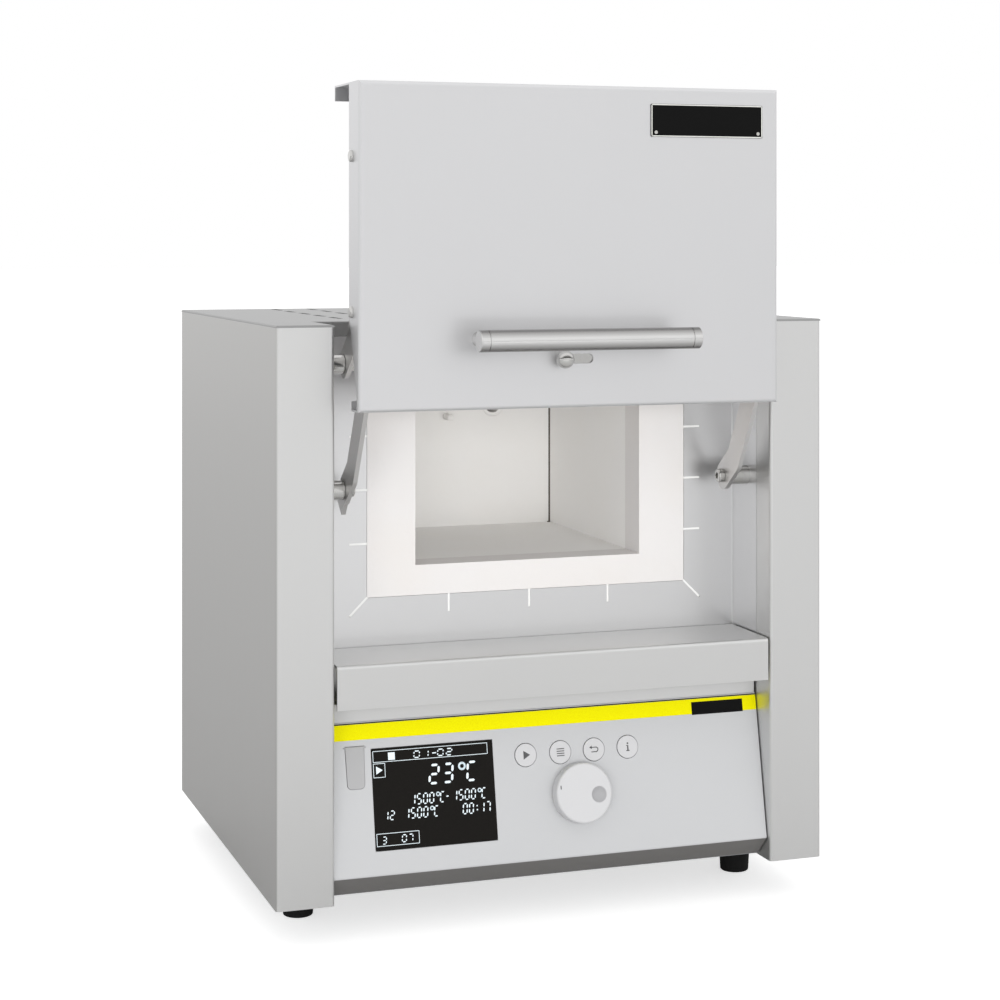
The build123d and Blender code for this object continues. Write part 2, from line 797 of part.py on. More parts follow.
def thermocouple():
    """Ceramic sheath with its connection head behind the inner casing."""
    z = BASE_Z + THERMO_H
    casing_y = BACKUP_BACK_Y + CASING_GAUGE
    sheath = rod_y(THERMO_X, (CHAMBER_BACK_Y - THERMO_IN, casing_y + 1), z, THERMO_R)
    tip = sheath.edges().filter_by(GeomType.CIRCLE).sort_by(Axis.Y)[0]
    sheath = fillet(tip, THERMO_TIP_R)
    width, depth, height = THERMO_HEAD
    head = block((THERMO_X - width / 2, THERMO_X + width / 2), (casing_y, casing_y + depth),
                 (z - height / 2, z + height / 2))
    return sheath + head


def exhaust_pipe():
    """Tube from the chamber through the rear panel."""
    z = BASE_Z + EXHAUST_H
    tube = rod_y(EXHAUST_X, (CHAMBER_BACK_Y, BACK_Y), z, EXHAUST_R)
    return tube - rod_y(EXHAUST_X, (CHAMBER_BACK_Y - 1, BACK_Y + 1), z, EXHAUST_BORE_R)


def stud_mount_plates():
    """Thick strips inside the columns that carry the studs."""
    x_range = (RECESS_W / 2 + SHEET, RECESS_W / 2 + SHEET + STUD_PLATE)
    low, high = stud_heights()
    plate = block(x_range, (STUD_Y - STUD_PLATE_W / 2, STUD_Y + STUD_PLATE_W / 2),
                  (low - STUD_PLATE_OVER, high + STUD_PLATE_OVER))
    plate -= [rod_x(span(CASE_W), STUD_Y, z, JOURNAL_R + HOLE_GAP) for z in stud_heights()]
    return group([plate, mirrored(plate)])


def pivot_studs():
    """Shouldered studs that carry the arms, riveted into the columns."""
    studs = []
    plate_x = RECESS_W / 2 + SHEET + STUD_PLATE
    for z in stud_heights():
        stud = rod_x((ARM_OUT_X + SIDE_PLAY, RECESS_W / 2), STUD_Y, z, STUD_R)
        stud += rod_x((ARM_X - SIDE_PLAY, plate_x), STUD_Y, z, JOURNAL_R)
        stud += rod_x((plate_x, plate_x + STUD_HEAD), STUD_Y, z, STUD_R)
        stud -= rod_x((ARM_X - 1, ARM_X + STUD_THREAD_L), STUD_Y, z, STUD_THREAD_R)
        studs += [stud, mirrored(stud)]
    return group(studs)


def stud_bolts():
    """Flanged bolts that keep the arms on their studs."""
    bolts = []
    face = ARM_X - SIDE_PLAY
    for z in stud_heights():
        head = rod_x((face - STUD_BOLT_HEAD, face), STUD_Y, z, STUD_BOLT_R)
        rim = head.edges().filter_by(GeomType.CIRCLE).sort_by(Axis.X)[0]
        head = fillet(rim, STUD_BOLT_ROUND)
        socket = extrude(Plane.YZ * RegularPolygon(HEX_SOCKET_R, 6), STUD_BOLT_HEAD / 2)
        head -= Pos(face - STUD_BOLT_HEAD, STUD_Y, z) * socket
        bolt = head + rod_x((face, face + STUD_THREAD_L - 1), STUD_Y, z, STUD_THREAD_R - THREAD_FIT)
        bolts += [bolt, mirrored(bolt)]
    return group(bolts)


def arm(stud_z, door_fit, tail):
    """Right-hand cranked arm from a stud to the door."""
    bend = (STUD_Y + ARM_BEND[0], stud_z + ARM_BEND[1])
    start = (STUD_Y, stud_z)
    end = (STUD_Y - ARM_FORWARD, stud_z + ARM_RISE)
    outline = Sketch()
    for near, far in ((start, bend), (bend, end)):
        angle = math.degrees(math.atan2(far[1] - near[1], far[0] - near[0]))
        length = math.dist(near, far)
        leg = Pos(length / 2, 0) * SlotCenterToCenter(length, ARM_W)
        outline += Pos(*near) * Rot(0, 0, angle) * leg
    if tail:
        end_piece = Pos(TAIL_L / 2, 0) * Rectangle(TAIL_L, TAIL_W)
        outline += Pos(*start) * Rot(0, 0, TAIL_ANGLE) * end_piece
    plate = extrude(Pos(ARM_X, 0, 0) * (Plane.YZ * outline), ARM_T)
    reach = (ARM_X - 1, ARM_OUT_X + 1)
    plate -= rod_x(reach, *start, JOURNAL_R + JOURNAL_FIT)
    return plate - rod_x(reach, *end, JOURNAL_R + door_fit)


def arms(stud_z, door_fit, with_tail):
    """Left and right arm at one height; only the left lower one has a tail."""
    return mirrored(arm(stud_z, door_fit, with_tail)), arm(stud_z, door_fit, False)


def door_slot(length, width, depth_range):
    """Long round-ended hole behind the air knob."""
    shape = extrude(SlotOverall(length, width), depth_range[1] - depth_range[0])
    return Pos(0, DOOR_Y + depth_range[1], DOOR_Z + SLOT_RISE) * Rot(90, 0, 0) * shape


def post_places():
    """Handle posts: across, and height."""
    return [(side * POST_X, DOOR_Z + HANDLE_RISE) for side in (-1, 1)]


def door_panel():
    """Outer door sheet with its side, top and bottom folds."""
    half = DOOR_W / 2
    shell = door_block(span(half), (0, DOOR_FLANGE), (0, DOOR_H))
    front = shell.edges().group_by(Axis.Y)[0]
    shell = fillet(front, DOOR_FOLD_R)
    shell -= door_block(span(FLANGE_X), (DOOR_SHEET, DOOR_FLANGE + 1), (-1, DOOR_H + 1))
    cutback = Polyline(
        (DOOR_Y + DOOR_FLANGE_LOW, DOOR_Z - 1),
        (DOOR_Y + DOOR_FLANGE_LOW, DOOR_Z + CUTBACK_LOW),
        (DOOR_Y + DOOR_FLANGE + 1, DOOR_Z + CUTBACK_TOP),
        (DOOR_Y + DOOR_FLANGE + 1, DOOR_Z - 1),
        close=True,
    )
    shell -= extrude(Plane.YZ * make_face(cutback), half + 1, both=True)
    shell += door_block(span(half), (DOOR_FOLD_R, TOP_FLANGE), (DOOR_H - DOOR_SHEET, DOOR_H))
    shell += door_block(span(half), (TOP_FLANGE - DOOR_SHEET, TOP_FLANGE), (DOOR_H - TOP_LIP, DOOR_H))
    shell += door_block(span(half), (DOOR_FOLD_R, BOTTOM_FLANGE), (0, DOOR_SHEET))
    shell += door_block(span(half), (BOTTOM_FLANGE - DOOR_SHEET, BOTTOM_FLANGE), (0, BOTTOM_LIP))
    notch_x = (CARRIER_X - CARRIER_WALL - 1, ARM_OUT_X + CARRIER_GAP)
    notch = door_block(notch_x, (DOOR_FLANGE_LOW, BOTTOM_FLANGE + 1), (-1, BOTTOM_LIP + 1))
    shell -= [notch, mirrored(notch)]
    shell -= door_slot(SLOT_L, SLOT_W, (-1, DOOR_SHEET + 1))
    reach = (DOOR_Y - 1, DOOR_Y + DOOR_SHEET + 1)
    shell -= [rod_y(x, reach, z, POST_SPIGOT_R + HOLE_GAP) for x, z in post_places()]
    return shell - side_screw_holes()


def side_screw_holes():
    """Holes for the screws in the door's side folds."""
    reach = span(DOOR_W / 2 + 1)
    y = DOOR_Y + SIDE_SCREW_DEPTH
    outside = FLANGE_X - CARRIER_WALL - 1
    holes = []
    for rise in SIDE_SCREW_HEIGHTS:
        rod = rod_x(reach, y, DOOR_Z + rise, SIDE_SCREW_R + HOLE_GAP)
        holes.append(rod - door_block(span(outside), (0, DOOR_FLANGE), (0, DOOR_H)))
    return holes


def door_side_screws():
    """Screws through the side folds into the carriers."""
    screws = []
    y = DOOR_Y + SIDE_SCREW_DEPTH
    for rise in SIDE_SCREW_HEIGHTS:
        z = DOOR_Z + rise
        head = rod_x((DOOR_W / 2, DOOR_W / 2 + SIDE_SCREW_HEAD), y, z, SIDE_SCREW_HEAD_R)
        rim = head.edges().filter_by(GeomType.CIRCLE).sort_by(Axis.X)[-1]
        head = fillet(rim, SIDE_SCREW_HEAD * HEAD_ROUND)
        screw = head + rod_x((DOOR_W / 2 - SIDE_SCREW_L, DOOR_W / 2), y, z, SIDE_SCREW_R)
        screws += [screw, mirrored(screw)]
    return group(screws)


def door_carriers():
    """Channels inside the door in which the arms swing."""
    wall = CARRIER_WALL
    web = (DOOR_SHEET, DOOR_SHEET + wall)
    inner = CARRIER_X - wall
    depth = (DOOR_SHEET, CARRIER_DEPTH)
    channel = door_block((inner, FLANGE_X), web, (CARRIER_OUTER_LOW, CARRIER_TOP))
    channel += door_block((inner, CARRIER_X + wall), web, (CARRIER_LOW, CARRIER_TOP))
    channel += door_block((inner, CARRIER_X), depth, (CARRIER_LOW, CARRIER_TOP))
    outer_depth = (DOOR_SHEET, DOOR_FLANGE - DOOR_SHEET)
    channel += door_block((FLANGE_X - wall, FLANGE_X), outer_depth, (CARRIER_OUTER_LOW, CARRIER_TOP))
    ear = rod_x((inner, CARRIER_X), PIVOT_Y, PIVOT_Z, CARRIER_DEPTH - PIVOT_DEPTH)
    channel += ear
    channel -= [rod_x((inner - 1, CARRIER_X + 1), PIVOT_Y, z, JOURNAL_R) for z in pivot_heights()]
    channel -= side_screw_holes()
    return group([channel, mirrored(channel)])


def pivot_heights():
    """Heights of the two door pivots with the door raised."""
    return (PIVOT_Z, PIVOT_Z + STUD_PITCH)


def door_pivot_pins():
    """Shouldered pins on the carriers that the arms turn on."""
    pins = []
    inner = CARRIER_X - CARRIER_WALL
    for z in pivot_heights():
        pin = rod_x((inner, ARM_OUT_X + SIDE_PLAY), PIVOT_Y, z, JOURNAL_R)
        pin += rod_x((CARRIER_X, ARM_X - SIDE_PLAY), PIVOT_Y, z, PIN_SHOULDER_R)
        flange = (ARM_OUT_X + SIDE_PLAY, ARM_OUT_X + SIDE_PLAY + PIN_FLANGE)
        pin += rod_x(flange, PIVOT_Y, z, PIN_SHOULDER_R)
        pins += [pin, mirrored(pin)]
    return group(pins)


def door_plug_tray():
    """Sheet tray that carries the insulating plug between the carriers."""
    gauge = DOOR_SHEET
    half = CARRIER_X - CARRIER_WALL
    tray = door_block(span(half), (TRAY_DEPTH, TRAY_DEPTH + gauge), (TRAY_LOW, TRAY_TOP))
    side = door_block((half - gauge, half), (TRAY_DEPTH - TRAY_SIDE, TRAY_DEPTH), (TRAY_LOW, TRAY_TOP))
    tray += [side, mirrored(side)]
    return tray - air_duct()


def air_duct():
    """Way for air through the tray and the plug."""
    return door_block(span(DUCT_W / 2), (TRAY_DEPTH - 1, RECESS_D), (DUCT_LOW, DUCT_TOP))


def door_insulation():
    """Fibre plug that seals flat against the collar."""
    depth = (TRAY_DEPTH + DOOR_SHEET, RECESS_D - PLUG_GAP)
    plug = door_block(span(PLUG_W / 2), depth, (PLUG_LOW, PLUG_TOP))
    plug = chamfer(plug.edges().group_by(Axis.Y)[-1], PLUG_CHAMFER)
    return plug - air_duct()


def handle_y():
    """Middle of the handle's tube."""
    return DOOR_Y - HANDLE_STANDOFF


def handle_tube():
    """Round stainless tube."""
    half = HANDLE_L / 2 - HANDLE_CAP
    z = DOOR_Z + HANDLE_RISE
    tube = rod_x(span(half), handle_y(), z, HANDLE_R)
    return tube - rod_x(span(half + 1), handle_y(), z, HANDLE_R - HANDLE_WALL)


def handle_end_caps():
    """Turned end caps with a groove where they meet the tube."""
    z = DOOR_Z + HANDLE_RISE
    end = HANDLE_L / 2
    cap = rod_x((end - HANDLE_CAP + HANDLE_GROOVE, end), handle_y(), z, HANDLE_R)
    rim = cap.edges().filter_by(GeomType.CIRCLE).sort_by(Axis.X)[-1]
    cap = chamfer(rim, HANDLE_GROOVE)
    cap += rod_x((end - HANDLE_CAP, end), handle_y(), z, HANDLE_R - 2 * HANDLE_GROOVE)
    cap += rod_x((end - 2 * HANDLE_CAP, end), handle_y(), z, HANDLE_R - HANDLE_WALL - SADDLE_FIT)
    return group([cap, mirrored(cap)])


def handle_posts():
    """Posts from the door to the tube, shaped to it, nutted behind the sheet."""
    posts = []
    for x, z in post_places():
        post = rod_y(x, (handle_y(), DOOR_Y), z, POST_R)
        post -= rod_x((x - POST_R - 1, x + POST_R + 1), handle_y(), z, HANDLE_R + SADDLE_FIT)
        post += rod_y(x, (DOOR_Y, DOOR_Y + DOOR_SHEET + POST_NUT), z, POST_SPIGOT_R)
        hexagon = extrude(RegularPolygon(POST_NUT_R, 6), POST_NUT)
        back = DOOR_Y + DOOR_SHEET + POST_NUT
        posts.append(post + Pos(x, back, z) * Rot(90, 0, 0) * hexagon)
    return group(posts)


def air_slider():
    """Sliding plate behind the slot, with its ball knob in front."""
    depth = DOOR_SHEET + SLIDER_FIT
    plate = door_block((SLIDER_X - SLIDER_L / 2, SLIDER_X + SLIDER_L / 2), (depth, depth + SLIDER_T),
                       (SLOT_RISE - SLIDER_W / 2, SLOT_RISE + SLIDER_W / 2))
    window = extrude(SlotOverall(SLIDER_TRAVEL, SLOT_W), 3 * SLIDER_T, both=True)
    window_x = SLIDER_X - NECK_R - SLIDER_FIT - SLIDER_TRAVEL / 2
    z = DOOR_Z + SLOT_RISE
    plate -= Pos(window_x, DOOR_Y + depth, z) * Rot(90, 0, 0) * window
    knob_y = DOOR_Y - KNOB_OFF - KNOB_R
    knob = rod_y(SLIDER_X, (knob_y, DOOR_Y + depth), z, NECK_R)
    return plate + knob + Pos(SLIDER_X, knob_y, z) * Sphere(KNOB_R)


def slider_guide():
    """Strips behind the door sheet that hold the sliding plate."""
    depth = DOOR_SHEET + 2 * SLIDER_FIT + SLIDER_T
    half = (SLIDER_L + SLIDER_TRAVEL) / 2 + GUIDE_SIDE
    strips = []
    for side in (-1, 1):
        inner = SLIDER_W / 2 + SLIDER_FIT
        outer = inner + GUIDE_SIDE
        rises = sorted((SLOT_RISE + side * inner, SLOT_RISE + side * outer))
        over = sorted((SLOT_RISE + side * (inner - GUIDE_SIDE / 2), SLOT_RISE + side * outer))
        strip = door_block(span(half), (DOOR_SHEET, depth), rises)
        strips.append(strip + door_block(span(half), (depth, depth + GUIDE_T), over))
    ends = [door_block(sorted((side * half, side * (half - GUIDE_SIDE))), (depth, depth + GUIDE_T),
                       (SLOT_RISE - SLIDER_W / 2, SLOT_RISE + SLIDER_W / 2)) for side in (-1, 1)]
    return strips[0] + strips[1] + ends


def name_plate():
    """Blank plate near the door's top right corner."""
    plate = Box(NAME_PLATE_W, NAME_PLATE_T, NAME_PLATE_H)
    plate = fillet(plate.edges().filter_by(Axis.Y), NAME_PLATE_T)
    return Pos(NAME_PLATE_X, DOOR_Y - NAME_PLATE_T / 2, DOOR_Z + NAME_PLATE_RISE) * plate


def panel_section(wall):
    """Side outline of the controller housing, shrunk by a wall."""
    low = BASE_Z + SHEET
    outline = make_face(Polyline(
        (PANEL_BACK_Y, BASE_Z + PANEL_TOP_H),
        (PANEL_TOP_Y, BASE_Z + PANEL_TOP_H),
        (PANEL_LOW_Y, BASE_Z + PANEL_LOW_H),
        (PANEL_UNDER_Y, low),
        (PANEL_BACK_Y, low),
        close=True,
    ))
    if wall:
        outline = offset(outline, -wall, kind=Kind.INTERSECTION)
    corners = outline.vertices().sort_by(Axis.X)[:3]
    return Plane.YZ * fillet(corners, PANEL_CORNER_R)


def face_top():
    """Length of the leaning face from bottom to top."""
    return math.hypot(PANEL_TOP_Y - PANEL_LOW_Y, PANEL_TOP_H - PANEL_LOW_H)


def controller_panel():
    """Moulded housing with rebates and holes for what sits in its face."""
    shell = extrude(panel_section(0), PANEL_W / 2, both=True)
    inside = PANEL_W / 2 - PANEL_WALL
    shell -= extrude(panel_section(PANEL_WALL), inside, both=True)
    shell -= block(span(inside), (PANEL_BACK_Y - 2 * PANEL_WALL, PANEL_BACK_Y + 1),
                   (BASE_Z + SHEET + PANEL_WALL, BASE_Z + PANEL_TOP_H - PANEL_WALL))
    shell += board_bosses()
    groove = (STRIPE_LOW - STRIPE_FIT, STRIPE_LOW + STRIPE_W + STRIPE_FIT)
    shell -= on_face(span(PANEL_W), groove, (-STRIPE_T, 2))
    glass = (DISPLAY_W / 2 + DISPLAY_FIT, DISPLAY_H / 2 + DISPLAY_FIT)
    shell -= display_box(*glass, (DISPLAY_PROUD - DISPLAY_GLASS, 2))
    shell -= display_box(glass[0] - DISPLAY_LEDGE, glass[1] - DISPLAY_LEDGE, (-2 * PANEL_WALL, 0))
    for x in BUTTON_X:
        shell -= face_rod(x, BUTTON_V, (-2 * PANEL_WALL, 2), BUTTON_R + BUTTON_FIT)
    shell -= face_rod(DIAL_X, DIAL_V, (-2 * PANEL_WALL, 2), BUSH_R + BUSH_FIT)
    shell -= FACE * flap_outline(FLAP_FIT, (-FLAP_FLOOR, 2))
    shell -= FACE * usb_box(SOCKET_W / 2 + FLAP_FIT, SOCKET_H / 2 + FLAP_FIT, (-2 * PANEL_WALL, 0))
    return shell - FACE * flap_pins(FLAP_PIN_R + PIN_FIT, FLAP_W / 2 + FLAP_FIT + FLAP_PIN_L)


def display_box(half_w, half_h, lift_range):
    """Box on the face, centred on the display."""
    x_range = (DISPLAY_X - half_w, DISPLAY_X + half_w)
    return on_face(x_range, (DISPLAY_V - half_h, DISPLAY_V + half_h), lift_range)


def boss_places():
    """Bosses that carry the circuit board."""
    heights = (BOARD_LOW + BOSS_MARGIN, BOARD_TOP - BOSS_MARGIN)
    return [(x, v) for x in (-BOSS_X, BOSS_X) for v in heights]


def board_bosses():
    """Pillars moulded behind the face."""
    return [face_rod(x, v, (-BOARD_DEPTH, -PANEL_WALL / 2), BOSS_R) for x, v in boss_places()]


def accent_stripe():
    """Coloured strip laid in a groove along the top of the face."""
    return on_face(span(PANEL_W / 2), (STRIPE_LOW, STRIPE_LOW + STRIPE_W), (-STRIPE_T, 0))


def display_module():
    """Display glass with its body on the board."""
    low = DISPLAY_PROUD - DISPLAY_GLASS
    glass = block(span(DISPLAY_W / 2), span(DISPLAY_H / 2), (low, DISPLAY_PROUD))
    glass = fillet(glass.edges().filter_by(Axis.Z), DISPLAY_CORNER_R)
    body = DISPLAY_LEDGE + 2 * DISPLAY_FIT
    glass += block(span(DISPLAY_W / 2 - body), span(DISPLAY_H / 2 - body), (-BOARD_DEPTH, low))
    return FACE * Pos(DISPLAY_X, DISPLAY_V, 0) * glass


def controller_board():
    """Circuit board with its push switches."""
    board = on_face(span(BOARD_W / 2), (BOARD_LOW, BOARD_TOP), (-BOARD_DEPTH - BOARD_T, -BOARD_DEPTH))
    half = SWITCH_SIDE / 2
    for x in BUTTON_X:
        board += on_face((x - half, x + half), (BUTTON_V - half, BUTTON_V + half),
                         (-BOARD_DEPTH, -BOARD_DEPTH + SWITCH_H))
        board += face_rod(x, BUTTON_V, (-BOARD_DEPTH, SWITCH_TOP), SWITCH_PLUNGER_R)
    return board


def button(x):
    """Round push button with a flange behind the face and a stem."""
    cap = face_rod(x, BUTTON_V, (-PANEL_WALL - SEAM, BUTTON_PROUD), BUTTON_R)
    rims = cap.edges().filter_by(GeomType.CIRCLE)
    front = max(rims, key=lambda edge: FACE.to_local_coords(edge.center()).Z)
    cap = fillet(front, BUTTON_EDGE)
    back = -PANEL_WALL - SEAM - BUTTON_FLANGE_T
    cap += face_rod(x, BUTTON_V, (back, -PANEL_WALL - SEAM), BUTTON_R + BUTTON_FLANGE)
    return cap + face_rod(x, BUTTON_V, (back - BUTTON_STEM_L, back), BUTTON_STEM_R)


def dial_encoder():
    """Encoder body on the board with its bush in the face."""
    half = ENCODER_SIDE / 2
    body = on_face((DIAL_X - half, DIAL_X + half), (DIAL_V - half, DIAL_V + half),
                   (-BOARD_DEPTH, -BOARD_DEPTH + ENCODER_H))
    body += face_rod(DIAL_X, DIAL_V, (-BOARD_DEPTH + ENCODER_H, -PANEL_WALL / 2), BUSH_R)
    return body - face_rod(DIAL_X, DIAL_V, (-BOARD_DEPTH + 1, 2), SHAFT_R + SHAFT_FIT)


def encoder_shaft():
    """Shaft that carries the dial and slides in when it is pressed."""
    low = -BOARD_DEPTH + 1 + DIAL_TRAVEL + SEAM
    return face_rod(DIAL_X, DIAL_V, (low, DIAL_GAP + SHAFT_REACH), SHAFT_R)


def dial_knob():
    """Dial with a finger dimple."""
    body = rod_z(0, 0, (DIAL_GAP, DIAL_GAP + DIAL_H), DIAL_R)
    front = body.edges().filter_by(GeomType.CIRCLE).sort_by(Axis.Z)[-1]
    body = fillet(front, DIAL_EDGE_R)
    ball_r = (DIMPLE_R**2 + DIMPLE_DEPTH**2) / (2 * DIMPLE_DEPTH)
    ball_lift = DIAL_GAP + DIAL_H + ball_r - DIMPLE_DEPTH
    body -= Pos(DIMPLE_X, DIMPLE_V, ball_lift) * Sphere(ball_r)
    body -= rod_z(0, 0, (0, DIAL_GAP + SHAFT_REACH + SEAM), SHAFT_R + SHAFT_FIT)
    return FACE * Pos(DIAL_X, DIAL_V, 0) * body


def usb_box(half_w, half_h, lift_range):
    """Box centred on the socket under the flap, in face coordinates."""
    middle = FLAP_V - SOCKET_DROP
    return block((FLAP_X - half_w, FLAP_X + half_w), (middle - half_h, middle + half_h), lift_range)


def usb_socket():
    """Metal socket shell on the board, open to the front."""
    low = -BOARD_DEPTH
    front = -FLAP_FLOOR - SEAM
    socket = usb_box(SOCKET_W / 2, SOCKET_H / 2, (low, front))
    hollow = (SOCKET_W / 2 - SOCKET_WALL, SOCKET_H / 2 - SOCKET_WALL)
    return FACE * (socket - usb_box(*hollow, (front - USB_MOUTH, front + 1)))


def flap_outline(fit, lift_range):
    """Tapered flap with round lower corners, grown by a fit."""
    top = FLAP_V + FLAP_H / 2
    low = FLAP_V - FLAP_H / 2
    outline = make_face(Polyline(
        (FLAP_X - FLAP_W / 2, top),
        (FLAP_X + FLAP_W / 2, top),
        (FLAP_X + FLAP_W_LOW / 2, low),
        (FLAP_X - FLAP_W_LOW / 2, low),
        close=True,
    ))
    outline = fillet(outline.vertices().sort_by(Axis.Y)[:2], FLAP_CORNER_R)
    if fit:
        outline = offset(outline, fit, kind=Kind.INTERSECTION)
    return extrude(Pos(0, 0, lift_range[0]) * outline, lift_range[1] - lift_range[0])


def flap_axis():
    """Flap pivot: up the face, and out of it."""
    return FLAP_V + FLAP_H / 2 - FLAP_T / 2, FLAP_PROUD - FLAP_T / 2


def flap_pins(radius, reach):
    """Pivot pin through the flap's top edge."""
    v, lift = flap_axis()
    return rod_x((FLAP_X - reach, FLAP_X + reach), v, lift, radius)


def usb_flap():
    """Flap over the socket, its top edge rounded about its pivot."""
    v, lift = flap_axis()
    flap = flap_outline(0, (FLAP_PROUD - FLAP_T, FLAP_PROUD))
    flap -= block((FLAP_X - FLAP_W, FLAP_X + FLAP_W), (v, v + FLAP_T), (-FLAP_T, FLAP_T))
    flap += rod_x((FLAP_X - FLAP_W / 2, FLAP_X + FLAP_W / 2), v, lift, FLAP_T / 2)
    return FACE * (flap + flap_pins(FLAP_PIN_R, FLAP_W / 2 + FLAP_PIN_L))


def rocker_centre():
    """Rocker pivot in Y and Z."""
    return REAR_Y + INLET_FLANGE - ROCKER_PIVOT_IN, BASE_Z + INLET_H + ROCKER_RISE


def mains_inlet():
    """Appliance inlet and switch housing in one flange."""
    y = REAR_Y
    body = inlet_box(INLET_W / 2, INLET_TALL / 2, (y, y + INLET_FLANGE))
    body = fillet(body.edges().filter_by(Axis.Y), INLET_EDGE)
    body += inlet_box(INLET_W / 2 - INLET_EDGE, INLET_TALL / 2 - INLET_EDGE, (y - INLET_BODY, y))
    mouth = extrude(Rectangle(INLET_MOUTH_W, INLET_MOUTH_TALL), INLET_MOUTH_D)
    mouth = chamfer(mouth.edges().filter_by(Axis.Z).group_by(Axis.Y)[-1], INLET_MOUTH_CHAMFER)
    middle_z = BASE_Z + INLET_H + INLET_MOUTH_DROP
    body -= Pos(INLET_X, y + INLET_FLANGE, middle_z) * Rot(90, 0, 0) * mouth
    floor = y + INLET_FLANGE - INLET_MOUTH_D
    for step in (-1, 0, 1):
        x = INLET_X + step * PIN_PITCH
        z = middle_z + (-PIN_STAGGER if step else PIN_STAGGER)
        body += block((x - PIN_W / 2, x + PIN_W / 2), (floor, floor + PIN_L),
                      (z - PIN_T / 2, z + PIN_T / 2))
    cy, cz = rocker_centre()
    half_w = ROCKER_W / 2 + ROCKER_FIT
    hollow = ROCKER_R + ROCKER_FIT
    body -= block((INLET_X - half_w, INLET_X + half_w), (cy - hollow, y + 2 * INLET_FLANGE),
                  (cz - hollow, cz + hollow))
    return body - rod_x((INLET_X - half_w - ROCKER_PIN_L, INLET_X + half_w + ROCKER_PIN_L), cy, cz,
                        ROCKER_PIN_R + PIN_FIT)


def mains_rocker():
    """Rocker key, tipped to its off side."""
    body = Rot(0, 90, 0) * Cylinder(ROCKER_R, ROCKER_W)
    body &= block(span(ROCKER_W / 2), (-ROCKER_BACK, ROCKER_FRONT), span(ROCKER_HALF))
    scoop_r = 6 * ROCKER_R
    body -= rod_x(span(ROCKER_W), ROCKER_FRONT + scoop_r - 1, 0, scoop_r)
    body += rod_x(span(ROCKER_W / 2 + ROCKER_FIT + ROCKER_PIN_L - SEAM), 0, 0, ROCKER_PIN_R)
    cy, cz = rocker_centre()
    return Pos(INLET_X, cy, cz) * Rot(-ROCKER_TIP, 0, 0) * body


def solid_state_relay():
    """Relay on the base plate, with two terminal humps."""
    width, depth, height = RELAY
    low = BASE_Z + SHEET
    relay = block((RELAY_X - width / 2, RELAY_X + width / 2), (RELAY_Y - depth / 2, RELAY_Y + depth / 2),
                  (low, low + height))
    relay = chamfer(relay.edges().group_by(Axis.Z)[-1], RELAY_CHAMFER)
    for side in (-1, 1):
        y = RELAY_Y + side * (depth / 2 - TERMINAL_INSET)
        for x in (RELAY_X - width / 4, RELAY_X + width / 4):
            relay += rod_z(x, y, (low + height, low + height + TERMINAL_H), TERMINAL_R)
    return relay


def fan_place():
    """Fan centre in X and Z."""
    return FAN_X, BASE_Z + FAN_H


def fan_frame():
    """Square fan frame with the motor seat on three struts."""
    x, z = fan_place()
    half = FAN_SIDE / 2
    y_range = (REAR_IN_Y - FAN_DEPTH, REAR_IN_Y)
    frame = block((x - half, x + half), y_range, (z - half, z + half))
    frame = fillet(frame.edges().filter_by(Axis.Y), FAN_CORNER_R)
    frame -= rod_y(x, (y_range[0] - 1, y_range[1] + 1), z, FAN_BORE_R)
    seat_y = (y_range[0], y_range[0] + FAN_SPIDER)
    frame += rod_y(x, seat_y, z, FAN_HUB_R)
    for index in range(FAN_STRUTS):
        strut = block((FAN_HUB_R - 1, FAN_BORE_R + 1), seat_y, span(FAN_STRUT_W / 2))
        frame += Pos(x, 0, z) * Rot(0, 360 * index / FAN_STRUTS, 0) * strut
    return frame - rod_y(x, (y_range[0] + 1, y_range[1]), z, FAN_PIN_R + PIN_FIT)


def fan_rotor():
    """Hub with tilted blades and a short axle."""
    x, z = fan_place()
    low = REAR_IN_Y - FAN_DEPTH + FAN_SPIDER + SEAM
    top = REAR_IN_Y - 1
    rotor = rod_y(0, (low, top), 0, FAN_HUB_R - FAN_HUB_STEP)
    middle = (low + top) / 2
    reach = FAN_BLADE_R - FAN_HUB_R + FAN_BLADE_ROOT
    ring = rod_y(0, (low + 1, top - 1), 0, FAN_BLADE_R)
    for index in range(FAN_BLADES):
        blade = Rot(90 - FAN_BLADE_TILT, 0, 0) * Box(reach, FAN_BLADE_T, 2 * FAN_HUB_R)
        blade = Pos(FAN_BLADE_R - reach / 2, middle, 0) * blade
        rotor += Rot(0, 360 * index / FAN_BLADES, 0) * (blade & ring)
    rotor += rod_y(0, (low - FAN_SPIDER + 1 + SEAM, low), 0, FAN_PIN_R)
    return Pos(x, 0, z) * rotor


def fan_guard():
    """Wire guard over the fan: rings on spokes that end at the rear panel."""
    x, z = fan_place()
    wire = GUARD_WIRE / 2
    spoke_y = REAR_Y + wire
    ring_y = spoke_y + 0.75 * GUARD_WIRE
    guard = Part()
    for radius in GUARD_RINGS:
        guard += Pos(x, ring_y, z) * Rot(90, 0, 0) * Torus(radius, wire)
    for index in range(GUARD_SPOKES):
        spoke = rod_x((GUARD_RINGS[0] - wire, GUARD_SPOKE_R), spoke_y, 0, wire)
        guard += Pos(x, 0, z) * Rot(0, 45 + 360 * index / GUARD_SPOKES, 0) * spoke
    return guard


